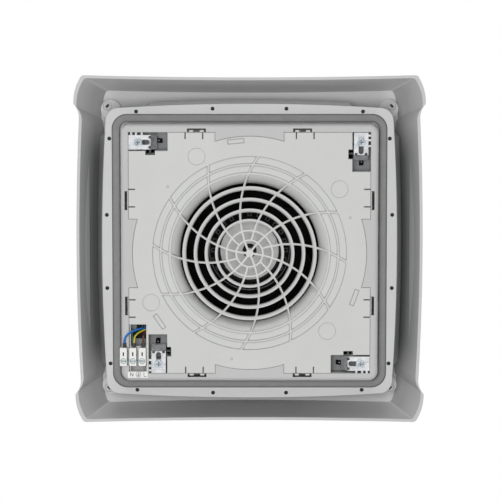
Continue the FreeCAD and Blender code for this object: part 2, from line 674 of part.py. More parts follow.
def hood():
    outer = Part.makeLoft([hood_wire(*r) for r in HOOD_OUTSIDE], True, True)
    inner = Part.makeLoft([hood_wire(*r) for r in HOOD_INSIDE], True, True)
    rim = HOOD_INSIDE[0]
    mouth = Part.makeLoft([hood_wire(rim[0] - CUT, *rim[1:]), hood_wire(*rim)], True, True)
    shell = outer.cut(inner.fuse(mouth))
    extras = []
    foot_w, top_w = HOOD_STEP_W
    for sx in (-1, 1):
        z1 = HOOD_STEP_Z + HOOD_STEP_H
        profile = [V(sx * (HOOD_STEP_X + foot_w), 0, HOOD_STEP_Z),
                   V(sx * HOOD_STEP_X, 0, HOOD_STEP_Z + foot_w),
                   V(sx * HOOD_STEP_X, 0, z1), V(sx * (HOOD_STEP_X + top_w), 0, z1)]
        step = polygon_prism([p + V(0, -HOOD_STEP_HALF, 0) for p in profile], V(0, 2 * HOOD_STEP_HALF, 0))
        extras.append(step)
    for p in lock_places():
        extras.append(disc(HOOD_BOSS_R, EAR_Z + EAR_T + GAP, HOOD_EAVE_Z + HOOD_BOSS_OVER, p.x, p.y))
    shell = fuse([shell] + [e.common(outer) for e in extras])
    end = EAR_Z + LOCK_SUNK + LOCK_HEAD_T + LOCK_LENGTH + LOCK_BORE_SPARE
    bores = [disc(LOCK_SHANK_R + FIT, EAR_Z, end, p.x, p.y) for p in lock_places()]
    return shell.cut(Part.makeCompound(bores))


def hood_lock(index):
    """A quarter-turn pin: a slotted head sunk in the ear, and a shank up into the hood's boss."""
    at = lock_places()[index]
    low = EAR_Z + LOCK_SUNK
    top = low + LOCK_HEAD_T
    pin = disc(LOCK_HEAD_R, low, top, at.x, at.y)
    pin = pin.fuse(disc(LOCK_SHANK_R, top, top + LOCK_LENGTH, at.x, at.y))
    length, width, depth = LOCK_SLOT
    slot = box(-length / 2, length / 2, -width / 2, width / 2, low - CUT, low + depth)
    slot.rotate(V(0, 0, 0), UP, LOCK_SLOT_TURN if index % 2 else -LOCK_SLOT_TURN)
    slot.translate(at)
    return pin.cut(slot).removeSplitter()


# --- inlet panel ----------------------------------------------------------------------------------------
def spoke_strip(r0, r1, z0, height):
    """One swept spoke between two radii: its bearing grows evenly with the radius."""
    inner_ring = RING_RADII[0]
    rate = SPOKE_SWEEP / (GUARD_OUT_R - inner_ring)

    def edge_point(radius, offset):
        bearing = math.radians((radius - inner_ring) * rate)
        lean = math.atan(radius * math.radians(rate))
        side = bearing + lean + math.pi / 2
        return V(radius * math.cos(bearing) + offset * math.cos(side),
                 radius * math.sin(bearing) + offset * math.sin(side), z0)

    half = SPOKE_W / 2
    middle = (r0 + r1) / 2
    left = [edge_point(r, half) for r in (r0, middle, r1)]
    right = [edge_point(r, -half) for r in (r1, middle, r0)]
    edges = [arc(*left), line(left[2], right[0]), arc(*right), line(right[2], left[0])]
    return prism(edges, height)


def guard_pockets():
    """Two rows of shallow pockets between the spokes, outside the bell."""
    cutters = []
    rate = SPOKE_SWEEP / (GUARD_OUT_R - RING_RADII[0])
    z = -TUB_DEPTH - CUT
    for inner, outer in POCKET_ROWS:
        row = ring(outer, inner, z, -TUB_DEPTH + POCKET_DEPTH)
        bars = []
        for i in range(SPOKES):
            bar = spoke_strip(inner - CUT, outer + CUT, z - CUT, POCKET_DEPTH + 3 * CUT)
            bars.append(turned(bar, spoke_bearing(i)))
        cutters.append(row.cut(Part.makeCompound(bars)))
    return cutters


def spoke_bearing(i):
    return -SPOKE_START + 360.0 / SPOKES * i


def snap_hook(quarter, side):
    """A vertical arm behind the panel's edge, with a bead that holds it in the frame."""
    near = HOOK_NEAR + HOOK_SLIT_W + HOOK_ARM_START
    far = HOOK_FAR - HOOK_SLIT_W
    x0, x1 = sorted((side * near, side * far))
    z = -TUB_DEPTH + PANEL_T
    arm = box(x0, x1, -PANEL_HALF, -PANEL_HALF + HOOK_ARM_T, z, z + HOOK_ARM_H)
    low, high = [z + HOOK_ARM_H - h for h in HOOK_BEAD_H]
    bead = box(x0, x1, -PANEL_HALF - HOOK_BEAD, -PANEL_HALF, low, high)
    return turned(arm.fuse(bead), 90 * quarter)


def hook_slits(quarter, side):
    cutters = []
    z = -TUB_DEPTH
    for along in (HOOK_NEAR + HOOK_SLIT_AT[0], HOOK_FAR + HOOK_SLIT_AT[1]):
        x0, x1 = sorted((side * along, side * (along + HOOK_SLIT_W)))
        slit = box(x0, x1, -PANEL_HALF - CUT, -PANEL_HALF + HOOK_SLIT_L, z - CUT, z + PANEL_T + CUT)
        cutters.append(turned(slit, 90 * quarter))
    return cutters


def raised_frame(x, y, degrees):
    """A thin raised rectangle moulded on the panel's face."""
    length, width = PAD_SIZE
    z = -TUB_DEPTH
    pad = box(-length / 2, length / 2, -width / 2, width / 2, z - PAD_H, z)
    hole = box(PAD_LINE - length / 2, length / 2 - PAD_LINE, PAD_LINE - width / 2, width / 2 - PAD_LINE,
               z - PAD_H - CUT, z + CUT)
    frame = pad.cut(hole)
    frame.rotate(V(0, 0, 0), UP, degrees)
    frame.translate(V(x, y, 0))
    return frame


def inlet_panel():
    z = -TUB_DEPTH
    through = (z - CUT, z + PANEL_T + CUT)
    plate = panel_outline(0, z, z + PANEL_T)
    cutters = [disc(BELL_R, *through)]
    cutters += [clip_niche(i, *through, GAP) for i in range(4)]
    cutters.append(box(-PANEL_HALF - CUT, BAY_X[1], BAY_Y[0], PANEL_HALF + CUT, *through))
    for quarter, side in hook_places():
        cutters += hook_slits(quarter, side)
    cutters += guard_pockets()
    cutters += [disc(DIMPLE_R, z - CUT, z + DIMPLE_DEPTH, x, y) for x, y in DIMPLES]
    return fuse([plate.cut(Part.makeCompound(cutters))] + [raised_frame(*pad) for pad in PADS])


def finger_guard(panel):
    """Rings and curved spokes over the inlet; the spokes end on the edge of the panel's hole."""
    z = -TUB_DEPTH
    solids = [disc(GUARD_HUB_R, z, z + GUARD_T)]
    for radius, width in zip(RING_RADII, RING_WIDTHS):
        solids.append(ring(radius + width / 2, radius - width / 2, z, z + GUARD_T))
    shoulder = THROAT_R + GUARD_SHOULDER
    for i in range(SPOKES):
        start = GUARD_HUB_R - CUT if i % 2 == 0 else RING_RADII[0]
        solids.append(turned(spoke_strip(start, shoulder, z, GUARD_T), spoke_bearing(i)))
        solids.append(turned(spoke_strip(shoulder - CUT, BELL_R + CUT, z, PANEL_T), spoke_bearing(i)))
    return fuse(solids).cut(panel)


def panel_hooks():
    return Part.makeCompound([snap_hook(quarter, side) for quarter, side in hook_places()])


def inlet_ring():
    """The bellmouth behind the panel: it narrows from the panel's hole to the throat."""
    face = -TUB_DEPTH + PANEL_T
    tail = SHROUD_Z - BELL_TAIL
    back = face + BELL_WALL
    inside = THROAT_R
    outside = THROAT_R + BELL_WALL
    rim = BELL_R + BELL_RIM
    mouth = BELL_R - BELL_STEP
    outer_end = BELL_R + BELL_OUT_END
    top = face + BELL_H
    in_mid = V(inside + BELL_IN_MID[0], 0, face + BELL_IN_MID[1])
    out_mid = V(inside + BELL_OUT_MID[0], 0, face + BELL_OUT_MID[1])
    edges = [line(V(rim, 0, face), V(mouth, 0, face)),
             arc(V(mouth, 0, face), in_mid, V(inside, 0, top)),
             line(V(inside, 0, top), V(inside, 0, tail)),
             line(V(inside, 0, tail), V(outside, 0, tail)),
             line(V(outside, 0, tail), V(outside, 0, top)),
             arc(V(outside, 0, top), out_mid, V(outer_end, 0, back)),
             line(V(outer_end, 0, back), V(rim, 0, back)),
             line(V(rim, 0, back), V(rim, 0, face))]
    return Part.Face(Part.Wire(edges)).revolve(V(0, 0, 0), UP, 360)


# --- fan ------------------------------------------------------------------------------------------------
def blade():
    """A backward-curved blade between the shroud and the back disc."""
    half = BLADE_T / 2
    mid_r = (BLADE_IN_R + FAN_R) / 2
    start = polar(BLADE_IN_R, 0, BLADE_Z)
    middle = polar(mid_r, BLADE_SWEEP * BLADE_TURNS[0], BLADE_Z)
    end = polar(FAN_R - BLADE_TIP, BLADE_SWEEP * BLADE_TURNS[1], BLADE_Z)
    curve = arc(start, middle, end).Curve
    centre = curve.Center
    rims = []
    for offset in (half, -half):
        scale = (curve.Radius + offset) / curve.Radius
        rims.append([centre + (p - centre) * scale for p in (start, middle, end)])
    out, back = rims
    edges = [arc(*out), line(out[2], back[2]), arc(back[2], back[1], back[0]), line(back[0], out[0])]
    return prism(edges, BACK_Z - BLADE_Z)


def impeller_wheel():
    """Back disc and hub, moulded in one."""
    inner = CAN_R + CAN_T + FIT
    back = ring(FAN_R, inner, BACK_Z, BACK_Z + BACK_T)
    hub = revolved(((inner, HUB_FACE_Z), (HUB_FACE_R - HUB_EDGE, HUB_FACE_Z),
                    (HUB_FACE_R, HUB_FACE_Z + HUB_EDGE),
                    (HUB_R, BACK_Z), (HUB_R, BACK_Z + BACK_T), (inner, BACK_Z + BACK_T)))
    half = HUB_POCKET / 2
    pocket = box(HUB_POCKET_R - half, HUB_POCKET_R + half, -half, half,
                 HUB_FACE_Z - CUT, HUB_FACE_Z + HUB_POCKET_DEPTH)
    pockets = [turned(pocket, 360.0 / HUB_POCKETS * i) for i in range(HUB_POCKETS)]
    return fuse([back, hub]).cut(Part.makeCompound(pockets))


def impeller_blades():
    return Part.makeCompound([turned(blade(), 360.0 / BLADES * i) for i in range(BLADES)])


def impeller_shroud():
    """The front ring: a flat annulus on the blades and a rounded eye round the inlet ring's tail."""
    low = SHROUD_Z - EYE_DROP
    inside = EYE_R
    outside = EYE_R + SHROUD_T
    flat = EYE_R + EYE_BEND
    small = EYE_BEND - SHROUD_T
    edges = [line(V(inside, 0, low), V(outside, 0, low)),
             line(V(outside, 0, low), V(outside, 0, SHROUD_Z - small)),
             arc(V(outside, 0, SHROUD_Z - small),
                 V(outside + ARC_MID * small, 0, SHROUD_Z - ARC_MID * small), V(flat, 0, SHROUD_Z)),
             line(V(flat, 0, SHROUD_Z), V(FAN_R, 0, SHROUD_Z)),
             line(V(FAN_R, 0, SHROUD_Z), V(FAN_R, 0, BLADE_Z)),
             line(V(FAN_R, 0, BLADE_Z), V(flat, 0, BLADE_Z)),
             arc(V(flat, 0, BLADE_Z), V(inside + ARC_MID * EYE_BEND, 0, BLADE_Z - ARC_MID * EYE_BEND),
                 V(inside, 0, BLADE_Z - EYE_BEND)),
             line(V(inside, 0, BLADE_Z - EYE_BEND), V(inside, 0, low))]
    return Part.Face(Part.Wire(edges)).revolve(V(0, 0, 0), UP, 360)


def rotor_can():
    bore = SHAFT_R + FIT
    inside = CAN_R
    outside = CAN_R + CAN_T
    return revolved(((bore, CAN_Z), (outside - CAN_EDGE, CAN_Z), (outside, CAN_Z + CAN_EDGE),
                     (outside, CAN_TOP_Z), (inside, CAN_TOP_Z), (inside, CAN_Z + CAN_T),
                     (bore, CAN_Z + CAN_T)))


def rotor_cap():
    """The plain disc on the rotor's face, with a low ring near its edge."""
    z = CAN_Z - CAP_T
    rim_out, rim_in, rim_h = CAP_RIM
    plate = ring(CAP_R, CAP_HOLE_R, z, CAN_Z)
    return plate.fuse(ring(CAP_R - rim_out, CAP_R - rim_in, z - rim_h, z)).removeSplitter()


def motor_shaft():
    return disc(SHAFT_R, CAN_Z, BRACKET_Z - STATOR_FLANGE_T - SHAFT_SHORT)


def magnet_inner():
    return CAN_R - FIT - MAGNET_T


def rotor_magnets():
    return ring(CAN_R - FIT, magnet_inner(), CORE_Z - MAGNET_OVER, CORE_Z + CORE_H + MAGNET_OVER)


def stator_core():
    """Laminated teeth on a yoke ring round the bearing tube."""
    outer = magnet_inner() - AIR_GAP
    z1 = CORE_Z + CORE_H
    yoke = ring(TUBE_R + YOKE_T, TUBE_R + FIT, CORE_Z, z1)
    tips = ring(outer, outer - TIP_T, CORE_Z, z1)
    gap_box = box(outer - TIP_T - CUT, outer + CUT, -TIP_GAP_HALF, TIP_GAP_HALF, CORE_Z - CUT, z1 + CUT)
    step = 360.0 / TOOTH_COUNT
    gaps = Part.makeCompound([turned(gap_box, step * (i + 0.5)) for i in range(TOOTH_COUNT)])
    tooth = box(TUBE_R + YOKE_T - CUT, outer - TIP_T / 2, -TOOTH_HALF, TOOTH_HALF, CORE_Z, z1)
    teeth = [turned(tooth, step * i) for i in range(TOOTH_COUNT)]
    return fuse([yoke, tips.cut(gaps)] + teeth)


def stator_windings():
    """A coil round each tooth."""
    outer = magnet_inner() - AIR_GAP - COIL_OUT
    inner = TUBE_R + YOKE_T + COIL_IN
    bore = TOOTH_HALF + COIL_CLEAR
    low = CORE_Z - COIL_OVER
    high = CORE_Z + CORE_H + COIL_OVER
    tooth_room = box(inner - CUT, outer + CUT, -bore, bore,
                     CORE_Z - COIL_CLEAR, CORE_Z + CORE_H + COIL_CLEAR)
    coil = box(inner, outer, -COIL_HALF, COIL_HALF, low, high).cut(tooth_room)
    apex, reach, half_angle = COIL_WEDGE
    wedge = polygon_prism([V(apex, 0, low - CUT), polar(reach, -half_angle, low - CUT),
                           polar(reach, half_angle, low - CUT)], V(0, 0, high - low + 2 * CUT))
    coil = coil.common(wedge)
    return Part.makeCompound([turned(coil, 360.0 / TOOTH_COUNT * i) for i in range(TOOTH_COUNT)])


def motor_screw_places():
    return [polar(MOTOR_SCREW_AT, 45 + 90 * i) for i in range(4)]


def post_places():
    return [polar(POST_AT, 90 * i) for i in range(4)]


def stator_flange():
    """Cast flange with the bearing tube that carries the stator, the bearings and the shaft."""
    top = BRACKET_Z
    low = CORE_Z - TUBE_OVER
    plate = disc(STATOR_FLANGE_R, top - STATOR_FLANGE_T, top)
    body = plate.fuse(disc(TUBE_R, low, top)).removeSplitter()
    bore = disc(BEARING_R + FIT, low - CUT, top - STATOR_FLANGE_T)
    under = top - STATOR_FLANGE_T - CUT
    holes = [disc(MOTOR_SCREW_R + FIT, under, top + CUT, p.x, p.y) for p in motor_screw_places()]
    return body.cut(Part.makeCompound([bore] + holes))


def bearings():
    """Two ball bearings, each drawn as its closed outer form."""
    low = CORE_Z - TUBE_OVER
    high = BRACKET_Z - STATOR_FLANGE_T - BEARING_W - BEARING_TOP
    return Part.makeCompound([ring(BEARING_R, BEARING_BORE_R, z, z + BEARING_W) for z in (low, high)])


def motor_bracket():
    """A sheet steel cross that carries the motor from four posts."""
    z0 = BRACKET_Z
    z1 = z0 + BRACKET_T
    reach = POST_AT + POST_R
    arms = box(-reach, reach, -BRACKET_ARM_HALF, BRACKET_ARM_HALF, z0, z1)
    arms = arms.fuse(turned(arms, 90)).fuse(disc(BRACKET_DISC_R, z0, z1)).removeSplitter()
    start, end, half, height = BRACKET_RIB
    rib = box(BRACKET_DISC_R - start, POST_AT - end, -half, half, z1, z1 + height)
    plate = fuse([arms] + [turned(rib, 90 * i) for i in range(4)])
    holes = [disc(BRACKET_HOLE_R, z0 - CUT, z1 + CUT)]
    holes += [disc(POST_HOLE_R, z0 - CUT, z1 + CUT, p.x, p.y) for p in post_places()]
    holes += [disc(MOTOR_SCREW_R + FIT, z0 - CUT, z1 + CUT, p.x, p.y) for p in motor_screw_places()]
    return plate.cut(Part.makeCompound(holes))


def bracket_posts():
    low = WALL - TUB_DEPTH
    bore = POST_SCREW_R + FIT
    return Part.makeCompound([ring(POST_R, bore, low, BRACKET_Z, p.x, p.y) for p in post_places()])


def cross_screw(at, shank_r, head_r, head_t, seat_z, length, up):
    """A pan head screw with a cross recess: its head on the seat, its shank going the other way."""
    sign = 1.0 if up else -1.0
    head = Part.makeCylinder(head_r, head_t, V(at.x, at.y, seat_z), V(0, 0, sign))
    tip = seat_z + sign * head_t
    rim = [e for e in head.Edges if abs(e.BoundBox.ZMin - tip) < SAME and abs(e.BoundBox.ZMax - tip) < SAME]
    head = head.makeFillet(head_t * HEAD_ROUND, rim)
    shank = Part.makeCylinder(shank_r, length, V(at.x, at.y, seat_z), V(0, 0, -sign))
    screw = head.fuse(shank).removeSplitter()
    low, high = sorted((tip + sign * CUT, tip - sign * head_t * RECESS_DEPTH))
    arm = head_r * RECESS_REACH
    half = RECESS_HALF
    cross = box(at.x - arm, at.x + arm, at.y - half, at.y + half, low, high)
    cross = cross.fuse(box(at.x - half, at.x + half, at.y - arm, at.y + arm, low, high))
    return screw.cut(cross)


def post_screws():
    seat = BRACKET_Z + BRACKET_T
    size = (POST_SCREW_R, POST_HEAD_R, POST_HEAD_T)
    return Part.makeCompound([cross_screw(p, *size, seat, POST_SCREW_LENGTH, True) for p in post_places()])


def motor_screws():
    seat = BRACKET_Z + BRACKET_T
    length = BRACKET_T + STATOR_FLANGE_T - MOTOR_SCREW_SHORT
    size = (MOTOR_SCREW_R, MOTOR_HEAD_R, MOTOR_HEAD_T)
    return Part.makeCompound([cross_screw(p, *size, seat, length, True) for p in motor_screw_places()])


# --- spring clips ---------------------------------------------------------------------------------------
def plate_z():
    """Height of a clip plate's underside and top."""
    top = -TUB_DEPTH - GAP
    return top - CLIP_T, top


def spring_clip(index):
    """A bent strip: a slotted plate with three teeth, and a sprung leg that leans up into the niche."""
    z0, z1 = plate_z()
    at, slide, teeth = clip_frame(index)
    plate = clip_box(index, -CLIP_IN, CLIP_OUT, -CLIP_HALF_W, CLIP_HALF_W, z0, z1)
    tooth_w, tooth_l = CLIP_TOOTH
    for u in CLIP_TEETH:
        tooth = clip_box(index, u - tooth_w / 2, u + tooth_w / 2, CLIP_HALF_W, CLIP_HALF_W + tooth_l, z0, z1)
        plate = plate.fuse(tooth)
    bend = -CLIP_IN
    foot = bend - CLIP_LEG_RUN
    rise = z1 + CLIP_LEG_RISE
    profile = [(bend, z0), (bend, z1), (foot + CLIP_LEG_T, rise), (foot + CLIP_LEG_T, rise + CLIP_TAIL),
               (foot, rise + CLIP_TAIL), (foot, rise - CLIP_BEND[0]), (bend - CLIP_BEND[1], z0)]
    points = [at + slide * u - teeth * CLIP_HALF_W + V(0, 0, z) for u, z in profile]
    leg = polygon_prism(points, teeth * (2 * CLIP_HALF_W))
    slot = clip_box(index, -CLIP_SLOT_AT, 0, -CLIP_SLOT_R, CLIP_SLOT_R, z0 - CUT, z1 + CUT)
    for u in (-CLIP_SLOT_AT, 0):
        end = at + slide * u
        slot = slot.fuse(disc(CLIP_SLOT_R, z0 - CUT, z1 + CUT, end.x, end.y))
    half_l, half_w, height = CLIP_NOTCH
    notches = [clip_box(index, bend - half_l, bend + half_l, v - half_w, v + half_w, z0 - CUT, z1 + height)
               for v in (-CLIP_NOTCH_AT, CLIP_NOTCH_AT)]
    return plate.fuse(leg).cut(Part.makeCompound([slot] + notches)).removeSplitter()


def clip_screws():
    seat = plate_z()[0] - CLIP_PLAY
    size = (CLIP_SCREW_R, CLIP_HEAD_R, CLIP_HEAD_T)
    places = [clip_frame(i)[0] for i in range(4)]
    return Part.makeCompound([cross_screw(p, *size, seat, CLIP_SCREW_LENGTH, False) for p in places])


# --- terminals ------------------------------------------------------------------------------------------
def pole_x():
    return [POLE_FIRST_X + POLE_PITCH * i for i in range(3)]


def entry_z():
    return BLOCK_SEAT_Z - BLOCK_H + ENTRY_H


def terminal_block():
    """Three insulated poles joined by webs, each with a wire entry, a screw funnel and a test slit."""
    z0 = BLOCK_SEAT_Z - BLOCK_H
    z1 = BLOCK_SEAT_Z
    y0, y1 = BLOCK_Y
    half = POLE_W / 2
    poles = []
    cutters = []
    for x in pole_x():
        pole = box(x - half, x + half, y0, y1, z0, z1)
        upright = [e for e in pole.Edges if abs(e.BoundBox.ZLength - BLOCK_H) < SAME]
        poles.append(pole.makeFillet(POLE_EDGE_R, upright))
        bore_at = V(x + ENTRY_SHIFT, y0 - CUT, entry_z())
        cutters.append(Part.makeCylinder(CLAMP_R + FIT, y1 - y0 - BORE_FLOOR - CUT, bore_at, V(0, 1, 0)))
        cutters.append(disc(FUNNEL_R, z0 - CUT, entry_z(), x, TERMINAL_SCREW_Y))
        width, length, depth = TEST_SLIT
        cutters.append(box(x - width / 2, x + width / 2, TEST_SLIT_Y - length / 2, TEST_SLIT_Y + length / 2,
                           z0 - CUT, z0 + depth))
    web_l, web_h, sunk = POLE_WEB
    for x in pole_x()[:-1]:
        x0 = x + half - sunk
        x1 = x + POLE_PITCH - half + sunk
        for y in (TEST_SLIT_Y, y1 - WEB_FROM_END):
            poles.append(box(x0, x1, y - web_l / 2, y + web_l / 2, z1 - web_h, z1))
    return fuse(poles).cut(Part.makeCompound(cutters))


def terminal_clamps():
    """Brass tubes in the poles."""
    y0 = BLOCK_Y[0] + CLAMP_ENDS[0]
    y1 = BLOCK_Y[1] - CLAMP_ENDS[1]
    clamps = []
    for x in pole_x():
        at = V(x + ENTRY_SHIFT, y0, entry_z())
        tube = Part.makeCylinder(CLAMP_R, y1 - y0, at, V(0, 1, 0))
        bore = Part.makeCylinder(CLAMP_BORE_R, y1 - y0 - CLAMP_FLOOR, at - V(0, CUT, 0), V(0, 1, 0))
        clamps.append(tube.cut(bore))
    return Part.makeCompound(clamps)


def terminal_screws():
    """Slotted screws that stand on the clamps."""
    screws = []
    seat = entry_z() - CLAMP_R - FIT
    head = BLOCK_SEAT_Z - BLOCK_H + TERMINAL_SCREW_SINK
    half_l, half_w, depth = TERMINAL_SLOT
    y = TERMINAL_SCREW_Y
    for x in pole_x():
        slot = box(x - half_l, x + half_l, y - half_w, y + half_w, head - CUT, head + depth)
        screws.append(disc(TERMINAL_SCREW_R, head, seat, x, y).cut(slot))
    return Part.makeCompound(screws)


def ferrule_at(x):
    return V(x + ENTRY_SHIFT, BLOCK_Y[0] - FERRULE_OUT, entry_z())


def wire_ferrules():
    """Insulating collars at the poles, each with its crimped pin in the clamp."""
    ferrules = []
    for x in pole_x():
        collar = Part.makeCylinder(FERRULE_R, FERRULE_OUT + FERRULE_IN, ferrule_at(x), V(0, 1, 0))
        pin = Part.makeCylinder(CLAMP_BORE_R - FIT, FERRULE_OUT + PIN_LENGTH, ferrule_at(x), V(0, 1, 0))
        ferrules.append(collar.fuse(pin).removeSplitter())
    return Part.makeCompound(ferrules)


def cord(points, radius, name):
    """A round cord: straight runs joined by tangent arcs, swept with a circle."""
    points = [V(*p) for p in points]
    edges = []
    radii = []
    start = points[0]
    for before, corner, after in zip(points, points[1:], points[2:]):
        first = corner - before
        second = after - corner
        turn = first.getAngle(second)
        pull = BEND_SHARE * min(first.Length, second.Length)
        bend = pull / math.tan(turn / 2)
        radii.append(round(bend, 1))
        a = corner - V(first).normalize() * pull
        b = corner + V(second).normalize() * pull
        bisector = (V(second).normalize() - V(first).normalize()).normalize()
        centre = corner + bisector * (bend / math.cos(turn / 2))
        middle = centre - bisector * bend
        edges.append(line(start, a))
        edges.append(arc(a, middle, b))
        start = b
    edges.append(line(start, points[-1]))
    path = Part.Wire(edges)
    direction = points[1] - points[0]
    profile = Part.Wire([Part.Circle(points[0], direction, radius).toShape()])
    tube = path.makePipeShell([profile], True, False)
    ratio = tube.Volume / (math.pi * radius * radius * path.Length)
    print(name, "bend radii", radii, "length", round(path.Length, 1), "volume ratio", round(ratio, 4))
    return tube


def wire(name, index):
    """A wire from its ferrule to the lead's end face."""
    route, bearing = WIRE_ROUTES[name]
    start = ferrule_at(pole_x()[index])
    lead_end = V(*LEAD_ROUTE[0])
    along = (V(*LEAD_ROUTE[1]) - lead_end).normalize()
    level = V(-along.y, along.x, 0).normalize()
    upright = along.cross(level)
    angle = math.radians(bearing)
    end = lead_end + (level * math.cos(angle) + upright * math.sin(angle)) * WIRE_SPREAD
    middle = [V(*p) for p in route]
    points = [start, start - V(0, WIRE_STRAIGHT, 0)] + middle + [end - along * WIRE_STRAIGHT, end]
    return cord(points, WIRE_R, name)


def lead_grommet():
    """The rubber sleeve where the lead meets the stator flange."""
    end = V(*LEAD_ROUTE[-1])
    inward = V(-end.x, -end.y, 0).normalize()
    start = end - inward * GROMMET_GRIP
    sleeve = Part.makeCylinder(GROMMET_R, GROMMET_L, start, inward)
    sleeve = sleeve.cut(disc(STATOR_FLANGE_R + GROMMET_SEAT, 0, HOOD_TOP_Z))
    return sleeve.cut(Part.makeCylinder(LEAD_R + GAP, GROMMET_GRIP + FIT, start, inward))


def terminal_label():
    return box(LABEL_X[0], LABEL_X[1], LABEL_Y[0], LABEL_Y[1], -TUB_DEPTH - LABEL_T, -TUB_DEPTH)


# --- the nodes ------------------------------------------------------------------------------------------
os.makedirs("parts", exist_ok=True)
base = base_frame()
tub_shell = base_tub()
housings = clip_housings(tub_shell)
save("base_frame", base)
save("rain_upstand", rain_upstand(base))
save("base_tub", tub_shell)
save("clip_housings", housings)
save("terminal_well", terminal_well(tub_shell, housings))
save("roof_gasket", roof_gasket())
save("hood", hood())
for number, corner_name in enumerate(CORNER_NAMES):
    save("hood_lock_" + corner_name, hood_lock(number))
    save("spring_clip_" + corner_name, spring_clip(number))
save("clip_screws", clip_screws())
panel = inlet_panel()
save("inlet_panel", panel)
save("finger_guard", finger_guard(panel))
save("panel_hooks", panel_hooks())
save("inlet_ring", inlet_ring())
save("impeller_wheel", impeller_wheel())
save("impeller_blades", impeller_blades())
save("impeller_shroud", impeller_shroud())
save("rotor_can", rotor_can())
save("rotor_cap", rotor_cap())
save("rotor_magnets", rotor_magnets())
save("motor_shaft", motor_shaft())
save("stator_core", stator_core())
save("stator_windings", stator_windings())
save("stator_flange", stator_flange())
save("bearings", bearings())
save("motor_bracket", motor_bracket())
save("bracket_posts", bracket_posts())
save("post_screws", post_screws())
save("motor_screws", motor_screws())
save("terminal_block", terminal_block())
save("terminal_clamps", terminal_clamps())
save("terminal_screws", terminal_screws())
save("wire_ferrules", wire_ferrules())
for number, wire_name in enumerate(WIRE_ROUTES):
    save(wire_name, wire(wire_name, number))
save("motor_lead", cord(LEAD_ROUTE, LEAD_R, "motor_lead"))
save("lead_grommet", lead_grommet())
save("terminal_label", terminal_label())
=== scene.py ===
import bpy, bmesh, math
from mathutils import Matrix, Vector, noise


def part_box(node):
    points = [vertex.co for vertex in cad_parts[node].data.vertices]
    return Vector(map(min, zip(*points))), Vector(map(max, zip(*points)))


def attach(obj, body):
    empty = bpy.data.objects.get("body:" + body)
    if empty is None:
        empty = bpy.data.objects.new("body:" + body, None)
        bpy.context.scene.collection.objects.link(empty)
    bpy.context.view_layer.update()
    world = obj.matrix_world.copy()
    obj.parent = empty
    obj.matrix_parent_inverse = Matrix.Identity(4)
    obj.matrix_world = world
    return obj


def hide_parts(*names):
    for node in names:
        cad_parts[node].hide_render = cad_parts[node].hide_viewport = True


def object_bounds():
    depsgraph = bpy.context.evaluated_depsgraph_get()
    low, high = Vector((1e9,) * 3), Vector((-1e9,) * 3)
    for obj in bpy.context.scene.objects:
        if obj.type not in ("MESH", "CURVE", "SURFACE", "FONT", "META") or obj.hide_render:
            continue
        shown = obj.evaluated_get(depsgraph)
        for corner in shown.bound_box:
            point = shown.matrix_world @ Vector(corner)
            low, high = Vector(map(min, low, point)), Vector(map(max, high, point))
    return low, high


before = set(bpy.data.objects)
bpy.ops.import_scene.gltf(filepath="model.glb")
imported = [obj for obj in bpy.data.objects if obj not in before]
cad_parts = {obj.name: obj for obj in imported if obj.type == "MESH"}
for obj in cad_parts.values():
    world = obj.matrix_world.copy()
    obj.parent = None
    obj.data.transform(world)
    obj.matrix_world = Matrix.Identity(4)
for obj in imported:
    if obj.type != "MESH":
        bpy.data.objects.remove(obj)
cad_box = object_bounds()

# ---------------------------------------------------------------- base frame
# The carrier of the unit: a roof flange with a tub hanging in the roof cut-out.
# Injection moulded in light grey ABS, with a fine spark-eroded grain on the flats
# and edges that the mould leaves slightly round.


def srgb(red, green, blue):
    """A colour chip's 0-255 values as the linear colour that a shader takes."""
    def linear(value):
        value /= 255
        return value / 12.92 if value <= 0.04045 else ((value + 0.055) / 1.055) ** 2.4
    return (linear(red), linear(green), linear(blue), 1.0)


def scaled(colour, share, lift=0.0):
    """A colour made darker or lighter, up to white."""
    return tuple(min(1.0, channel * share + lift) for channel in colour[:3]) + (1.0,)


def put(tree, kind, settings=None, **sockets):
    """Puts a node in a tree. A socket goes by its name, with _ for spaces, or by its number, as in at0.
    It takes a value or another node's output."""
    made = tree.nodes.new("ShaderNode" + kind)
    for key, value in (settings or {}).items():
        setattr(made, key, value)
    for key, value in sockets.items():
        numbered = key.startswith("at") and key[2:].isdigit()
        socket = made.inputs[int(key[2:]) if numbered else key.replace("_", " ")]
        if isinstance(value, bpy.types.NodeSocket):
            tree.links.new(value, socket)
        else:
            socket.default_value = value
    return made


def reckoned(tree, operation, *values):
    """A sum on values and other nodes' outputs."""
    numbered = {f"at{place}": value for place, value in enumerate(values)}
    return put(tree, "Math", {"operation": operation}, **numbered).outputs[0]


def product(tree, first, *others):
    """Several values multiplied."""
    for other in others:
        first = reckoned(tree, "MULTIPLY", first, other)
    return first


def alike(tree, one, other):
    """How far one direction lies along another, from -1 to 1."""
    return put(tree, "VectorMath", {"operation": "DOT_PRODUCT"}, at0=one, at1=other).outputs["Value"]


def ranged(tree, value, start, end, low=0.0, high=1.0, smooth=False):
    """A value's run from start to end as a run from low to high, held at both ends."""
    kind = "SMOOTHSTEP" if smooth else "LINEAR"
    return put(tree, "MapRange", {"interpolation_type": kind}, Value=value,
               From_Min=start, From_Max=end, To_Min=low, To_Max=high).outputs[0]


def blended(tree, share, under, over):
    """One colour laid over another by a share."""
    return put(tree, "Mix", {"data_type": "RGBA"}, Factor=share, at6=under, at7=over).outputs[2]


def shaded(tree, value, deep, pale, start=0.0, end=1.0):
    """A value as a shade that runs from a deep colour to a pale one."""
    ramp = put(tree, "ValToRGB", Fac=value)
    first, last = ramp.color_ramp.elements
    first.position, last.position = start, end
    first.color, last.color = deep, pale
    return ramp.outputs[0]


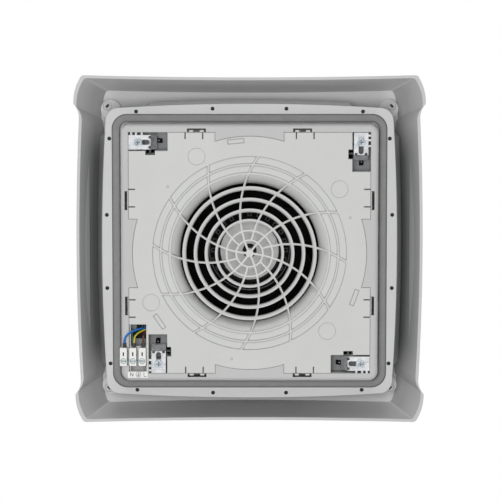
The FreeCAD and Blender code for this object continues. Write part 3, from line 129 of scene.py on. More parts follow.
def feed(tree, shader, **sockets):
    """Links other nodes' outputs to a shader's sockets."""
    for key, output in sockets.items():
        tree.links.new(output, shader.inputs[key.replace("_", " ")])


def mottled(tree, coords, scale, detail, roughness=0.5):
    """A value that clouds over a surface, between 0 and 1."""
    made = put(tree, "TexNoise", Vector=coords, Scale=scale, Detail=detail, Roughness=roughness)
    return made.outputs["Fac"]


def new_group(name, takes, gives):
    """A shader node group with its named inputs and outputs."""
    group = bpy.data.node_groups.new(name, "ShaderNodeTree")
    for label, kind, value in takes:
        socket = group.interface.new_socket(label, in_out="INPUT", socket_type="NodeSocket" + kind)
        socket.default_value = value
    for label, kind in gives:
        group.interface.new_socket(label, in_out="OUTPUT", socket_type="NodeSocket" + kind)
    return group, group.nodes.new("NodeGroupInput").outputs, group.nodes.new("NodeGroupOutput").inputs


def effect(tree, group, **values):
    """Places a shared effect in a material and returns what it gives."""
    return put(tree, "Group", {"node_tree": group}, **values).outputs


# grain of a moulded face: a fine pebble, and the slow drift in shade of a large moulding
grain_group, takes, gives = new_group(
    "moulded grain", [("Grain", "Float", 900.0), ("Drift", "Float", 14.0)],
    [("Height", "Float"), ("Shade", "Float")])
coords = put(grain_group, "TexCoord").outputs["Object"]
pebble = mottled(grain_group, coords, takes["Grain"], 3.0, 0.55)
drift = mottled(grain_group, coords, takes["Drift"], 4.0, 0.6)
speck = product(grain_group, pebble, 0.35)
grain_group.links.new(pebble, gives["Height"])
grain_group.links.new(reckoned(grain_group, "MULTIPLY_ADD", drift, 0.65, speck), gives["Shade"])

# rounded edge: the normal that a small edge radius would have, and where that radius lies
edge_group, takes, gives = new_group(
    "rounded edge", [("Radius", "Float", 0.0004)], [("Normal", "Vector"), ("Edge", "Float")])
rounded = put(edge_group, "Bevel", {"samples": 4}, Radius=takes["Radius"]).outputs[0]
flat = put(edge_group, "NewGeometry").outputs["Normal"]
edge_group.links.new(rounded, gives["Normal"])
edge_group.links.new(ranged(edge_group, alike(edge_group, rounded, flat), 1.0, 0.86), gives["Edge"])

# painted recess shade: bores, slots and corners narrower than the reach are painted darker, as the shade in
# them
recess_shade_group, takes, gives = new_group("recess_shade", [("Reach", "Float", 0.006)], [("Depth", "Float")])
openness = put(recess_shade_group, "AmbientOcclusion", {"samples": 6, "only_local": True}, Distance=takes["Reach"])
recess_shade = ranged(recess_shade_group, openness.outputs["AO"], 0.86, 0.08, smooth=True)
recess_shade_group.links.new(recess_shade, gives["Depth"])


def start_finish(name, **sockets):
    """A new material, its tree and its shader; the named sockets are set on the shader itself."""
    finish = bpy.data.materials.new(name)
    finish.use_nodes = True
    shader = finish.node_tree.nodes["Principled BSDF"]
    for key, value in sockets.items():
        shader.inputs[key.replace("_", " ")].default_value = value
    return finish, finish.node_tree, shader


def moulded(name, pale, deep, rough=(0.42, 0.6), grain=900.0, relief=0.00003, radius=0.0004, wear_and_highlight=0.25,
            reach=0.006, recess_darkness=0.06, **sockets):
    """Moulded plastic: a shade that drifts between two colours, a grained face, edges made a little brighter,
    partly as wear and partly as a painted highlight, and painted shade in narrow recesses."""
    finish, tree, shader = start_finish(name, **sockets)
    face = effect(tree, grain_group, Grain=grain)
    rim = effect(tree, edge_group, Radius=radius)
    recess = effect(tree, recess_shade_group, Reach=reach)
    shade = shaded(tree, face["Shade"], deep, pale, 0.3, 0.7)
    # edges are made brighter, partly as wear and partly as a painted highlight
    worn_and_highlit = blended(tree, product(tree, rim["Edge"], wear_and_highlight), shade, scaled(pale, 1.35, 0.012))
    # narrow recesses are painted near black, as shade
    recess_shaded = blended(tree, recess["Depth"], worn_and_highlit, scaled(deep, recess_darkness))
    gloss = ranged(tree, face["Shade"], 0.3, 0.7, rough[1], rough[0])
    bump = put(tree, "Bump", Strength=0.6, Distance=relief, Height=face["Height"], Normal=rim["Normal"])
    feed(tree, shader, Base_Color=recess_shaded, Roughness=gloss, Normal=bump.outputs[0])
    return finish


def dress(finish, *nodes):
    """Gives CAD nodes their finish."""
    for name in nodes:
        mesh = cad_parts[name].data
        mesh.materials.clear()
        mesh.materials.append(finish)


def mixed_in(finish, dull, mask, group, **values):
    """Lays a second colour over a finish where a shared effect's mask says so."""
    tree = finish.node_tree
    colour = tree.nodes["Principled BSDF"].inputs["Base Color"]
    plain = colour.links[0].from_socket
    tree.links.new(blended(tree, effect(tree, group, **values)[mask], plain, dull), colour)


# painted deep shade: faces far up a narrow pocket are painted darker, the more so the deeper they lie
deep_shade_group, takes, gives = new_group(
    "painted deep shade", [("Rim", "Float", -0.024), ("Deep", "Float", -0.01)], [("Depth", "Float")])
spot = put(deep_shade_group, "NewGeometry").outputs["Position"]
height = put(deep_shade_group, "SeparateXYZ", Vector=spot).outputs["Z"]
deep_shade_group.links.new(ranged(deep_shade_group, height, takes["Rim"], takes["Deep"]), gives["Depth"])

light_grey_abs = moulded("light grey ABS", srgb(203, 204, 203), srgb(197, 198, 197))
dress(light_grey_abs, "base_frame")
# the tub's grey is a little darker than the flange's: painted shade on its face
tub_abs = moulded("light grey ABS of the tub", srgb(195, 196, 195), srgb(189, 190, 189), radius=0.0008)
dress(tub_abs, "base_tub")

# the clip niches and the terminal well are painted darker towards their deep ends, as shade
niche_abs = moulded("light grey ABS in the clip niches", srgb(198, 199, 198), srgb(190, 191, 190))
mixed_in(niche_abs, srgb(132, 133, 134), "Depth", deep_shade_group, Rim=-0.0235, Deep=-0.0035)
dress(niche_abs, "clip_housings")
well_abs = moulded("light grey ABS in the terminal well", srgb(190, 191, 190), srgb(182, 183, 182))
mixed_in(well_abs, srgb(140, 141, 142), "Depth", deep_shade_group, Rim=-0.0215, Deep=-0.0085)
dress(well_abs, "terminal_well")

# ---------------------------------------------------------------- roof gasket
# The seal between flange and roof: polyurethane foam poured into the flange's groove in
# one run by a robot. It has a closed skin with fine pores, and its start and end overlap.
BEAD_WIDTH = 0.0092
BEAD_CORNER_R = 0.0129
BEAD_STEPS = 30
BEAD_CORNER_STEPS = 14
BEAD_SIDE_STEPS = 90
# the section is an oval made fuller by these powers: at its sides, on the free face and in the groove
SIDE_POWER, FACE_POWER, GROOVE_POWER = 0.62, 0.95, 0.4
# how much the bead swells and thins along its run, and how closely the waves follow one another
WAVES = ((0.035, 60), (0.02, 230))
MOST_SWELL = 1.03
BEAD_FULLNESS = 0.965
# the run's start and end overlap in a low rise at the front
JOINT_X, JOINT_REACH, JOINT_RISE = 0.062, 0.006, 0.02
bead_low, bead_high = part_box("roof_gasket")
bead_half = bead_high.x - BEAD_WIDTH / 2
bead_middle = (bead_high.z + bead_low.z) / 2
bead_reach = (bead_high.z - bead_low.z) / 2


def round_square(half, corner, corner_steps, side_steps):
    """Points and outward directions of a square loop with round corners."""
    straight = half - corner
    side = []
    for step in range(side_steps):
        side.append((Vector((half, straight * (2 * step / side_steps - 1))), Vector((1, 0))))
    for step in range(corner_steps):
        angle = math.radians(90 * step / corner_steps)
        out = Vector((math.cos(angle), math.sin(angle)))
        side.append((Vector((straight, straight)) + out * corner, out))
    turns = [Matrix.Rotation(math.radians(90 * quarter), 2) for quarter in range(4)]
    return [(turn @ place, turn @ out) for turn in turns for place, out in side]


def skinned(skin, rings, ends):
    """Adds a skin over rings of points that follow one another, its ends "joined", "closed" or "open"."""
    rows = [[skin.verts.new(point) for point in ring] for ring in rings]
    if ends == "closed":
        skin.faces.new(rows[0])
        skin.faces.new(rows[-1][::-1])
    if ends == "joined":
        rows.append(rows[0])
    for this, following in zip(rows, rows[1:]):
        for index in range(len(this)):
            after = (index + 1) % len(this)
            skin.faces.new((this[index], this[after], following[after], following[index]))


def solid_piece(name, skin, finish, body, smooth=True):
    """Makes a piece of the visible model from a built skin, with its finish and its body."""
    mesh = bpy.data.meshes.new(name)
    bmesh.ops.recalc_face_normals(skin, faces=skin.faces[:])
    skin.to_mesh(mesh)
    skin.free()
    mesh.materials.append(finish)
    for face in mesh.polygons:
        face.use_smooth = smooth
    piece = bpy.data.objects.new(name, mesh)
    bpy.context.scene.collection.objects.link(piece)
    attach(piece, body)
    return piece


bead_rings = []
for place, out in round_square(bead_half, BEAD_CORNER_R, BEAD_CORNER_STEPS, BEAD_SIDE_STEPS):
    spot = Vector((place.x, place.y, 0))
    swell = 1 + sum(share * noise.noise(spot * pace) for share, pace in WAVES)
    joint = math.exp(-((place.x - JOINT_X) ** 2 + (place.y + bead_half) ** 2) / JOINT_REACH ** 2)
    rise = bead_reach * (BEAD_FULLNESS * min(MOST_SWELL, swell) + JOINT_RISE * joint)
    ring = []
    for step in range(BEAD_STEPS):
        angle = math.tau * step / BEAD_STEPS
        aside, up = math.cos(angle), math.sin(angle)
        aside = math.copysign(abs(aside) ** SIDE_POWER, aside) * BEAD_WIDTH / 2 * min(1.0, swell)
        up = math.copysign(abs(up) ** (FACE_POWER if up < 0 else GROOVE_POWER), up) * rise
        point = place + out * aside
        ring.append((point.x, point.y, bead_middle + up))
    bead_rings.append(ring)
bead_skin = bmesh.new()
skinned(bead_skin, bead_rings, "joined")

foam, tree, shader = start_finish("poured foam skin", Specular_IOR_Level=0.35)
pores = put(tree, "TexVoronoi", Vector=put(tree, "TexCoord").outputs["Object"], Scale=1100.0, Randomness=1.0)
hollow = ranged(tree, pores.outputs["Distance"], 0.0, 0.32)
face = effect(tree, grain_group, Grain=420.0, Drift=60.0)
shade = shaded(tree, face["Shade"], srgb(120, 121, 120), srgb(146, 147, 146))
pored = blended(tree, hollow, srgb(106, 107, 106), shade)
depth = reckoned(tree, "MULTIPLY_ADD", hollow, 0.5, face["Height"])
bump = put(tree, "Bump", Strength=0.7, Distance=0.00025, Height=depth)
matt = ranged(tree, face["Shade"], 0.0, 1.0, 0.7, 0.9)
feed(tree, shader, Base_Color=pored, Roughness=matt, Normal=bump.outputs[0])
bead = solid_piece("foam_bead", bead_skin, foam, "housing")
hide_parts("roof_gasket")

# ---------------------------------------------------------------- rain hood
# The weather cover that stands over the roof opening and turns the air outwards: one
# deep-drawn looking ABS moulding in the frame's grey, held by four quarter-turn locks.
hood_abs = moulded("hood ABS", srgb(203, 204, 203), srgb(197, 198, 197), rough=(0.38, 0.55), radius=0.0006)
upstand_abs = moulded("light grey ABS with painted wall shade", srgb(196, 197, 196), srgb(190, 191, 190))

# painted wall shade: steep walls are painted darker as shade, the more so the further up they lie.
# Those on the left and right fade out to the front and rear, and those at the rear fade out to the sides.
wall_shade_group, takes, gives = new_group(
    "painted wall shade",
    [("Inward", "Float", 1.0), ("Rim", "Float", 0.0), ("Deep", "Float", 0.05), ("Rear", "Float", 0.0)],
    [("Face", "Float")])
spot = put(wall_shade_group, "NewGeometry").outputs
turned = put(wall_shade_group, "SeparateXYZ", Vector=spot["Normal"]).outputs
place = put(wall_shade_group, "SeparateXYZ", Vector=spot["Position"]).outputs
faced = product(wall_shade_group, turned["X"], reckoned(wall_shade_group, "SIGN", place["X"]), takes["Inward"])
steep = ranged(wall_shade_group, faced, -0.2, -0.6, smooth=True)
depth = ranged(wall_shade_group, place["Z"], takes["Rim"], takes["Deep"], 0.12, 1.0)
off_middle = reckoned(wall_shade_group, "ABSOLUTE", place["Y"])
fading = ranged(wall_shade_group, off_middle, 0.10, 0.165, 1.0, 0.45, smooth=True)
sides = product(wall_shade_group, steep, depth, fading)
behind = reckoned(wall_shade_group, "GREATER_THAN", place["Y"], 0.0)
steep = ranged(wall_shade_group, turned["Y"], -0.3, -0.85, smooth=True)
off_middle = reckoned(wall_shade_group, "ABSOLUTE", place["X"])
fading = ranged(wall_shade_group, off_middle, 0.04, 0.19, 1.0, 0.1, smooth=True)
rear = product(wall_shade_group, behind, steep, fading, takes["Rear"])
wall_shade_group.links.new(reckoned(wall_shade_group, "MAXIMUM", sides, rear), gives["Face"])

# the hood's inner walls and the upstand's outer walls take the painted wall shade
mixed_in(hood_abs, srgb(98, 99, 99), "Face", wall_shade_group, Inward=1.0, Rim=0.016, Deep=0.046, Rear=0.5)
mixed_in(upstand_abs, srgb(104, 105, 105), "Face", wall_shade_group, Inward=-1.0, Rim=0.0, Deep=0.012, Rear=0.0)
dress(hood_abs, "hood")
dress(upstand_abs, "rain_upstand")

# the locks' faces, with the bottoms of their slots in shade
lock_nylon = moulded("lock nylon", srgb(196, 197, 195), srgb(188, 189, 187), rough=(0.3, 0.45),
                     radius=0.0003, wear_and_highlight=0.35)
mixed_in(lock_nylon, srgb(38, 38, 38), "Depth", deep_shade_group, Rim=0.0553, Deep=0.0561)
dress(lock_nylon, *(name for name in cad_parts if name.startswith("hood_lock")))

# ---------------------------------------------------------------- inlet panel and guard
# The air inlet: a snap-in panel with a spiral finger guard over a bell mouth, moulded in
# one piece, its snap hooks behind the windows, and the ring that seals to the fan.
# the panel's shallow steps take a stronger painted recess shade than the other mouldings
panel_abs = moulded("panel ABS", srgb(209, 210, 208), srgb(203, 204, 202), radius=0.0006,
                    reach=0.002, recess_darkness=0.15)
ring_abs = moulded("bell mouth ABS", srgb(200, 201, 199), srgb(192, 193, 191), rough=(0.35, 0.5))
guard_abs = moulded("guard ABS", srgb(213, 214, 212), srgb(207, 208, 206), radius=0.0012, wear_and_highlight=0.0)

# turned inwards: the side of a rounded edge that looks towards the fan's axis, except close to the axis
inward_group, takes, gives = new_group("turned inwards", [("Radius", "Float", 0.0016)], [("Face", "Float")])
rounded = put(inward_group, "Bevel", {"samples": 6}, Radius=takes["Radius"]).outputs[0]
spot = put(inward_group, "NewGeometry").outputs["Position"]
level = put(inward_group, "VectorMath", {"operation": "MULTIPLY"}, at0=spot, at1=(1.0, 1.0, 0.0)).outputs[0]
outward = put(inward_group, "VectorMath", {"operation": "NORMALIZE"}, at0=level).outputs[0]
distance = put(inward_group, "VectorMath", {"operation": "LENGTH"}, at0=level).outputs["Value"]
face = ranged(inward_group, alike(inward_group, rounded, outward), 0.12, -0.3, smooth=True)
away = ranged(inward_group, distance, 0.028, 0.04)
inward_group.links.new(product(inward_group, face, away), gives["Face"])
# the guard's rings are painted darker on the side turned inwards, as shade
mixed_in(guard_abs, srgb(120, 121, 120), "Face", inward_group, Radius=0.0022)

# a soft dark line is painted as shade where one level of the panel steps to the next
mixed_in(panel_abs, srgb(158, 159, 158), "Edge", edge_group, Radius=0.0012)
dress(panel_abs, "inlet_panel")
dress(guard_abs, "finger_guard")
dress(ring_abs, "inlet_ring")

# the panel's three raised rectangles lean the other way on the real moulding: a copy of the panel
# without them stands in, and the rectangles are set on it anew
RECTANGLES = ((-0.0153, -0.1250, 5), (-0.1008, 0.0765, -55), (0.1171, 0.0495, 70))
RECTANGLE_HALF_L = 0.0095
RECTANGLE_HALF_W = 0.0028
RECTANGLE_LINE = 0.0009
RECTANGLE_SINK = 0.0001
RECTANGLE_MARGIN = 0.0003
# the corners of a square, in order round it
CORNERS = ((-1, -1), (1, -1), (1, 1), (-1, 1))
panel_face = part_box("base_tub")[0].z
rectangle_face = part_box("inlet_panel")[0].z
plain_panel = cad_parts["inlet_panel"].data.copy()
rectangles = bmesh.new()
for x, y, lean in RECTANGLES:
    centre = Vector((x, y, 0))
    leaned = Matrix.Rotation(math.radians(-lean), 3, "Z")
    for point in plain_panel.vertices:
        from_centre = leaned @ (point.co - centre)
        along = abs(from_centre.x) < RECTANGLE_HALF_L + RECTANGLE_MARGIN
        across = abs(from_centre.y) < RECTANGLE_HALF_W + RECTANGLE_MARGIN
        if along and across and point.co.z < panel_face:
            point.co.z = panel_face
    rings = []
    for inset, height in ((0.0, panel_face + RECTANGLE_SINK), (0.0, rectangle_face),
                          (RECTANGLE_LINE, rectangle_face), (RECTANGLE_LINE, panel_face + RECTANGLE_SINK)):
        half_l, half_w = RECTANGLE_HALF_L - inset, RECTANGLE_HALF_W - inset
        rings.append([leaned @ Vector((side * half_l, end * half_w, 0)) + centre + Vector((0, 0, height))
                      for side, end in CORNERS])
    skinned(rectangles, rings, "joined")
panel_piece = bpy.data.objects.new("plain_panel", plain_panel)
bpy.context.scene.collection.objects.link(panel_piece)
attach(panel_piece, "housing")
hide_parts("inlet_panel")
# the raised lines are painted a darker grey than the panel, as the shade along their outlines
line_abs = moulded("raised line ABS", srgb(164, 165, 164), srgb(156, 157, 156), wear_and_highlight=0.0)
solid_piece("panel_rectangles", rectangles, line_abs, "housing", smooth=False)

# the hooks behind the windows are painted darker than the panel as shade, those in the left and right windows
# black, the front and rear ones grey
aside_group, takes, gives = new_group("far aside", [("Out", "Float", 0.134)], [("Face", "Float")])
spot = put(aside_group, "NewGeometry").outputs["Position"]
off_middle = reckoned(aside_group, "ABSOLUTE", put(aside_group, "SeparateXYZ", Vector=spot).outputs["X"])
beyond = reckoned(aside_group, "GREATER_THAN", off_middle, takes["Out"])
aside_group.links.new(beyond, gives["Face"])
hook_abs = moulded("hook ABS", srgb(150, 151, 150), srgb(140, 141, 140), reach=0.003)
mixed_in(hook_abs, srgb(16, 16, 17), "Face", aside_group, Out=0.134)
dress(hook_abs, "panel_hooks")


def block(skin, plan, *heights):
    """Adds an upright block over a plan of corners to a skin."""
    skinned(skin, [[(corner.x, corner.y, height) for corner in plan] for height in heights], "closed")


# pads between panel and tub in the hooks' windows: two short ones in each window at the front and
# rear, and a thin one all along each window on the left and right
WINDOW_MIDDLE = 0.059
WINDOW_HALF = 0.0103
PAD_FROM, PAD_TO = 0.0036, 0.0083
PAD_IN, SHORT_PAD_OUT, LONG_PAD_OUT = 0.1353, 0.1375, 0.1364
PAD_LOW, PAD_TOP = -0.0259, -0.0250
pads = bmesh.new()
for quarter in range(4):
    turn = Matrix.Rotation(math.radians(90 * quarter), 2)
    spans, pad_out = [(-PAD_TO, -PAD_FROM), (PAD_FROM, PAD_TO)], SHORT_PAD_OUT
    if quarter % 2 == 1:
        spans, pad_out = [(-WINDOW_HALF, WINDOW_HALF)], LONG_PAD_OUT
    for window in (-WINDOW_MIDDLE, WINDOW_MIDDLE):
        for start, end in spans:
            plan = ((start, PAD_IN), (end, PAD_IN), (end, pad_out), (start, pad_out))
            block(pads, [turn @ Vector((window + reach, -out)) for reach, out in plan], PAD_LOW, PAD_TOP)
solid_piece("window_pads", pads, panel_abs, "housing", smooth=False)


def lathed(skin, profile, centre, steps=48):
    """Adds a closed turned shape to a skin: a profile of (radius, height) round a centre."""
    rings = []
    for step in range(steps):
        angle = math.tau * step / steps
        rings.append([(centre[0] + radius * math.cos(angle), centre[1] + radius * math.sin(angle), height)
                      for radius, height in profile])
    skinned(skin, rings, "joined")


# the small rings that ejector pins left on the panel: a low rim with a rounded top, painted darker than the
# panel as shade
PIN_MARKS = ((-0.0912, -0.0747), (0.1122, -0.0399), (-0.0204, 0.1187))
PIN_MARK_R = 0.0014
PIN_MARK_T = 0.00016
PIN_MARK_RIM = ((1.0, -0.5), (1.0, 0.6), (0.93, 1.0), (0.78, 1.0), (0.7, 0.5), (0.7, -0.5))
marks = bmesh.new()
for place in PIN_MARKS:
    lathed(marks, [(PIN_MARK_R * out, panel_face - PIN_MARK_T * lift) for out, lift in PIN_MARK_RIM], place)
pin_mark_shade = moulded("pin mark", srgb(150, 151, 150), srgb(138, 139, 138), wear_and_highlight=0.0)
solid_piece("pin_marks", marks, pin_mark_shade, "housing")

# ---------------------------------------------------------------- spring clips and their screws
# Four clips that clamp the unit to the roof sheet: hard spring steel strip, stamped, bent
# and zinc plated; each slides under the head of a cross-recess screw.


def plated(name, bright, dull, rough=(0.22, 0.4), stretch=(40.0, 900.0, 900.0), relief=0.00001,
           radius=0.00025, metallic=1.0, reach=0.0022):
    """Plated or bare metal: a drawn grain along one direction, edges made bright, partly as tumbling wear
    and partly as a painted highlight, and painted shade in narrow recesses."""
    finish, tree, shader = start_finish(name, Metallic=metallic)
    coords = put(tree, "TexCoord").outputs["Object"]
    drawn = put(tree, "Mapping", Vector=coords, Scale=stretch).outputs[0]
    lines = mottled(tree, drawn, 1.0, 4.0, 0.6)
    bloom = mottled(tree, coords, 160.0, 3.0, 0.6)
    both = reckoned(tree, "MULTIPLY_ADD", lines, 0.5, bloom)
    rim = effect(tree, edge_group, Radius=radius)
    recess = effect(tree, recess_shade_group, Reach=reach)
    # edges are made bright, partly as tumbling wear and partly as a painted highlight
    worn_and_highlit = blended(tree, rim["Edge"], shaded(tree, both, dull, bright, 0.55, 0.95), bright)
    # narrow recesses are painted near black, as shade
    recess_shaded = blended(tree, recess["Depth"], worn_and_highlit, scaled(dull, 0.05))
    gloss = ranged(tree, both, 0.5, 1.0, rough[0], rough[1])
    bump = put(tree, "Bump", Strength=0.5, Distance=relief, Height=both, Normal=rim["Normal"])
    feed(tree, shader, Base_Color=recess_shaded, Roughness=gloss, Normal=bump.outputs[0])
    return finish


clip_steel = plated("zinc plated spring steel", srgb(226, 227, 229), srgb(192, 194, 197), metallic=0.45,
                    reach=0.0014)
screw_zinc = plated("zinc plated screw", srgb(204, 213, 219), srgb(150, 159, 166), rough=(0.2, 0.34),
                    stretch=(500.0, 500.0, 500.0), radius=0.0003, metallic=0.7, reach=0.003)
dress(clip_steel, *(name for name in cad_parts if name.startswith("spring_clip")))
dress(screw_zinc, "clip_screws", "post_screws", "motor_screws")

# a black rubber stop with a steel pin at the ceiling of each niche, where the clip's leg ends its
# travel; a pin's profile goes from its point up into the stop
STOP_PAST_CLIP = 0.0058
STOP_LENGTH = 0.0062
STOP_HALF_W = 0.0029
STOP_TOP, STOP_LOW = -0.0032, -0.0066
PIN_FROM_START = 0.0022
PIN_PROFILE = ((0.0001, STOP_LOW - 0.0004), (0.0006, STOP_LOW - 0.0003), (0.0008, STOP_LOW),
               (0.0008, STOP_LOW + 0.001), (0.0001, STOP_LOW + 0.001))
# the window beside each clip, for the tool that frees it: a painted shadow inside, and a rib across in
# painted shade
SCREW_FROM_BACK = 0.0106
WINDOW_NEAR, WINDOW_FAR = 0.0093, 0.0138
WINDOW_FROM, WINDOW_TO = 0.0086, 0.0183
WINDOW_TOP, WINDOW_LOW = -0.0032, -0.0050
RIB_NEAR = 0.0100
RIB_FROM, RIB_TO = 0.0119, 0.0138
RIB_TOP, RIB_LOW = -0.0052, -0.0150
stops, pins, windows, ribs = bmesh.new(), bmesh.new(), bmesh.new(), bmesh.new()
for corner in ("front_left", "front_right", "rear_right", "rear_left"):
    low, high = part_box("spring_clip_" + corner)
    middle, size = ((low + high) / 2).to_2d(), high - low
    inward, central = Vector((-math.copysign(1, middle.x), 0)), Vector((0, -math.copysign(1, middle.y)))
    if size.x < size.y:
        inward, central = central, inward
    half_l = max(size.x, size.y) / 2

    end = middle + inward * (half_l + STOP_PAST_CLIP)
    start = end - inward * STOP_LENGTH
    half_w = Vector((-inward.y, inward.x)) * STOP_HALF_W
    block(stops, (start - half_w, end - half_w * 0.7, end + half_w, start + half_w * 0.8), STOP_TOP, STOP_LOW)
    lathed(pins, PIN_PROFILE, start + inward * PIN_FROM_START, 16)

    screw = middle - inward * (half_l - SCREW_FROM_BACK)
    for skin, near, along, heights in (
            (windows, WINDOW_NEAR, (WINDOW_FROM, WINDOW_TO), (WINDOW_TOP, WINDOW_LOW)),
            (ribs, RIB_NEAR, (RIB_FROM, RIB_TO), (RIB_TOP, RIB_LOW))):
        plan = ((along[0], near), (along[1], near), (along[1], WINDOW_FAR), (along[0], WINDOW_FAR))
        block(skin, [screw + inward * reach + central * aside for reach, aside in plan], *heights)
window_shadow = moulded("painted window shadow", srgb(14, 14, 15), srgb(8, 8, 9), rough=(0.6, 0.8), wear_and_highlight=0.0,
                      Specular_IOR_Level=0.1)
rib_abs = moulded("window rib", srgb(96, 97, 98), srgb(84, 85, 86))
stop_rubber = moulded("stop rubber", srgb(16, 16, 17), srgb(9, 9, 10), rough=(0.6, 0.8), wear_and_highlight=0.1,
                      Specular_IOR_Level=0.2)
solid_piece("release_window_shadows", windows, window_shadow, "housing", smooth=False)
solid_piece("release_ribs", ribs, rib_abs, "housing", smooth=False)
solid_piece("clip_stops", stops, stop_rubber, "housing", smooth=False)
solid_piece("stop_pins", pins, screw_zinc, "housing")

# ---------------------------------------------------------------- impeller
# A backward curved impeller: back disc, seven blades and front shroud in black glass
# filled nylon, welded into one wheel that turns on the rotor can.
black_nylon = moulded("black glass filled nylon", srgb(9, 9, 10), srgb(5, 5, 6), rough=(0.55, 0.75),
                      grain=1400.0, relief=0.00002, wear_and_highlight=0.1, Specular_IOR_Level=0.08)
dress(black_nylon, "impeller_wheel", "impeller_blades", "impeller_shroud")

# square seats for balance weights round the hub's face, painted a grey lighter than the wheel's black as
# light on them
SEATS = 24
SEAT_AT = 0.0412
SEAT_HALF = 0.0026
SEAT_HOLE_HALF = 0.0012
SEAT_H = 0.0005
SEAT_SINK = 0.0001
# the section of a seat's rim, as half its width and its height
SEAT_RIM = ((SEAT_HALF, SEAT_SINK), (SEAT_HALF, -SEAT_H * 0.7), (SEAT_HALF * 0.93, -SEAT_H),
            (SEAT_HOLE_HALF * 1.15, -SEAT_H), (SEAT_HOLE_HALF, -SEAT_H * 0.7), (SEAT_HOLE_HALF, SEAT_SINK))
hub_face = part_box("impeller_wheel")[0].z
seats = bmesh.new()
for seat in range(SEATS):
    turn = Matrix.Rotation(math.tau * seat / SEATS, 4, "Z")
    rings = [[turn @ Vector((SEAT_AT + x * half, y * half, hub_face + height)) for x, y in CORNERS]
             for half, height in SEAT_RIM]
    skinned(seats, rings, "open")
lit_seat_nylon = moulded("balance seat nylon", srgb(62, 62, 63), srgb(50, 50, 51), rough=(0.5, 0.65),
                     grain=1400.0, wear_and_highlight=0.1)
solid_piece("balance_seats", seats, lit_seat_nylon, "rotor", smooth=False)


def oval(radius, height, half_w, half_h, steps):
    """The profile of a ring with an oval section."""
    turns = [math.tau * step / steps for step in range(steps)]
    return [(radius + half_w * math.cos(turn), height + half_h * math.sin(turn)) for turn in turns]


# the hub's polished edge, glossy, with a grey lighter than the wheel's black as a painted sheen
HUB_EDGE_R = 0.0457
HUB_EDGE_TUBE = 0.0008
hub_edge = bmesh.new()
hub_edge_profile = oval(HUB_EDGE_R, hub_face + 0.9 * HUB_EDGE_TUBE, HUB_EDGE_TUBE, HUB_EDGE_TUBE, 12)
lathed(hub_edge, hub_edge_profile, (0, 0), 96)
polished_sheen_nylon = moulded("polished nylon with painted sheen", srgb(76, 76, 78), srgb(66, 66, 68), rough=(0.1, 0.16),
                         grain=600.0, relief=0.000002, wear_and_highlight=0.0, Specular_IOR_Level=1.0)
solid_piece("hub_edge", hub_edge, polished_sheen_nylon, "rotor")

# ---------------------------------------------------------------- external rotor motor
# Rotor can in deep-drawn steel with ring magnets inside, a grey cap on its face, a ground
# shaft in two bearings, a stator of stacked sheets with nine wound coils on a cast flange.
rotor_paint = moulded("rotor can black paint", srgb(24, 24, 25), srgb(16, 16, 17), rough=(0.45, 0.6),
                      grain=600.0, Specular_IOR_Level=0.25)
cap_abs = moulded("cap ABS", srgb(214, 215, 214), srgb(208, 209, 208))
ferrite = moulded("ring magnet ferrite", srgb(58, 57, 58), srgb(44, 43, 44), rough=(0.5, 0.7), grain=2500.0)
ground_steel = plated("ground shaft steel", srgb(214, 216, 218), srgb(180, 182, 184),
                      stretch=(900.0, 900.0, 60.0))
core_sheets = plated("stacked core sheets", srgb(150, 151, 153), srgb(96, 97, 99), rough=(0.4, 0.6),
                     stretch=(10.0, 10.0, 4000.0))
enamel_copper = plated("enamelled copper", srgb(206, 112, 58), srgb(150, 66, 30), rough=(0.25, 0.4),
                       stretch=(60.0, 60.0, 3000.0))
cast_alloy = plated("die cast aluminium", srgb(186, 188, 190), srgb(150, 152, 154), rough=(0.4, 0.6),
                    stretch=(300.0, 300.0, 300.0), relief=0.00004)
dress(rotor_paint, "rotor_can")
dress(cap_abs, "rotor_cap")
dress(ferrite, "rotor_magnets")
dress(ground_steel, "motor_shaft", "bearings")
dress(core_sheets, "stator_core")
dress(enamel_copper, "stator_windings")
dress(cast_alloy, "stator_flange")

# ---------------------------------------------------------------- motor bracket and posts
# A flat cross of galvanised steel sheet that carries the motor. Screws hold the motor's
# flange to its middle and its four arms to the posts.
galvanised = plated("galvanised sheet", srgb(190, 193, 196), srgb(150, 153, 156), rough=(0.3, 0.55),
                    stretch=(90.0, 90.0, 90.0))
dress(galvanised, "motor_bracket", "bracket_posts")

# ---------------------------------------------------------------- supply terminals
# A three-pole terminal block moulded in white nylon, with a wire entry, a test slit and a
# screw per pole; each screw works a nickelled brass clamp on the wire's ferrule.
block_nylon = moulded("white terminal nylon", srgb(240, 240, 238), srgb(232, 232, 229), rough=(0.3, 0.45),
                      radius=0.0003)
clamp_brass = plated("nickelled brass", srgb(210, 206, 190), srgb(176, 170, 150))
ferrule_sleeve = moulded("dark ferrule sleeve", srgb(62, 63, 66), srgb(48, 49, 52), rough=(0.35, 0.5),
                         radius=0.0003)
pale_zinc = plated("pale blue zinc", srgb(208, 219, 222), srgb(186, 199, 203), rough=(0.4, 0.55),
                   stretch=(500.0, 500.0, 500.0), metallic=0.4, reach=0.0012)
dress(block_nylon, "terminal_block")
dress(pale_zinc, "terminal_screws")
dress(clamp_brass, "terminal_clamps")
dress(ferrule_sleeve, "wire_ferrules")

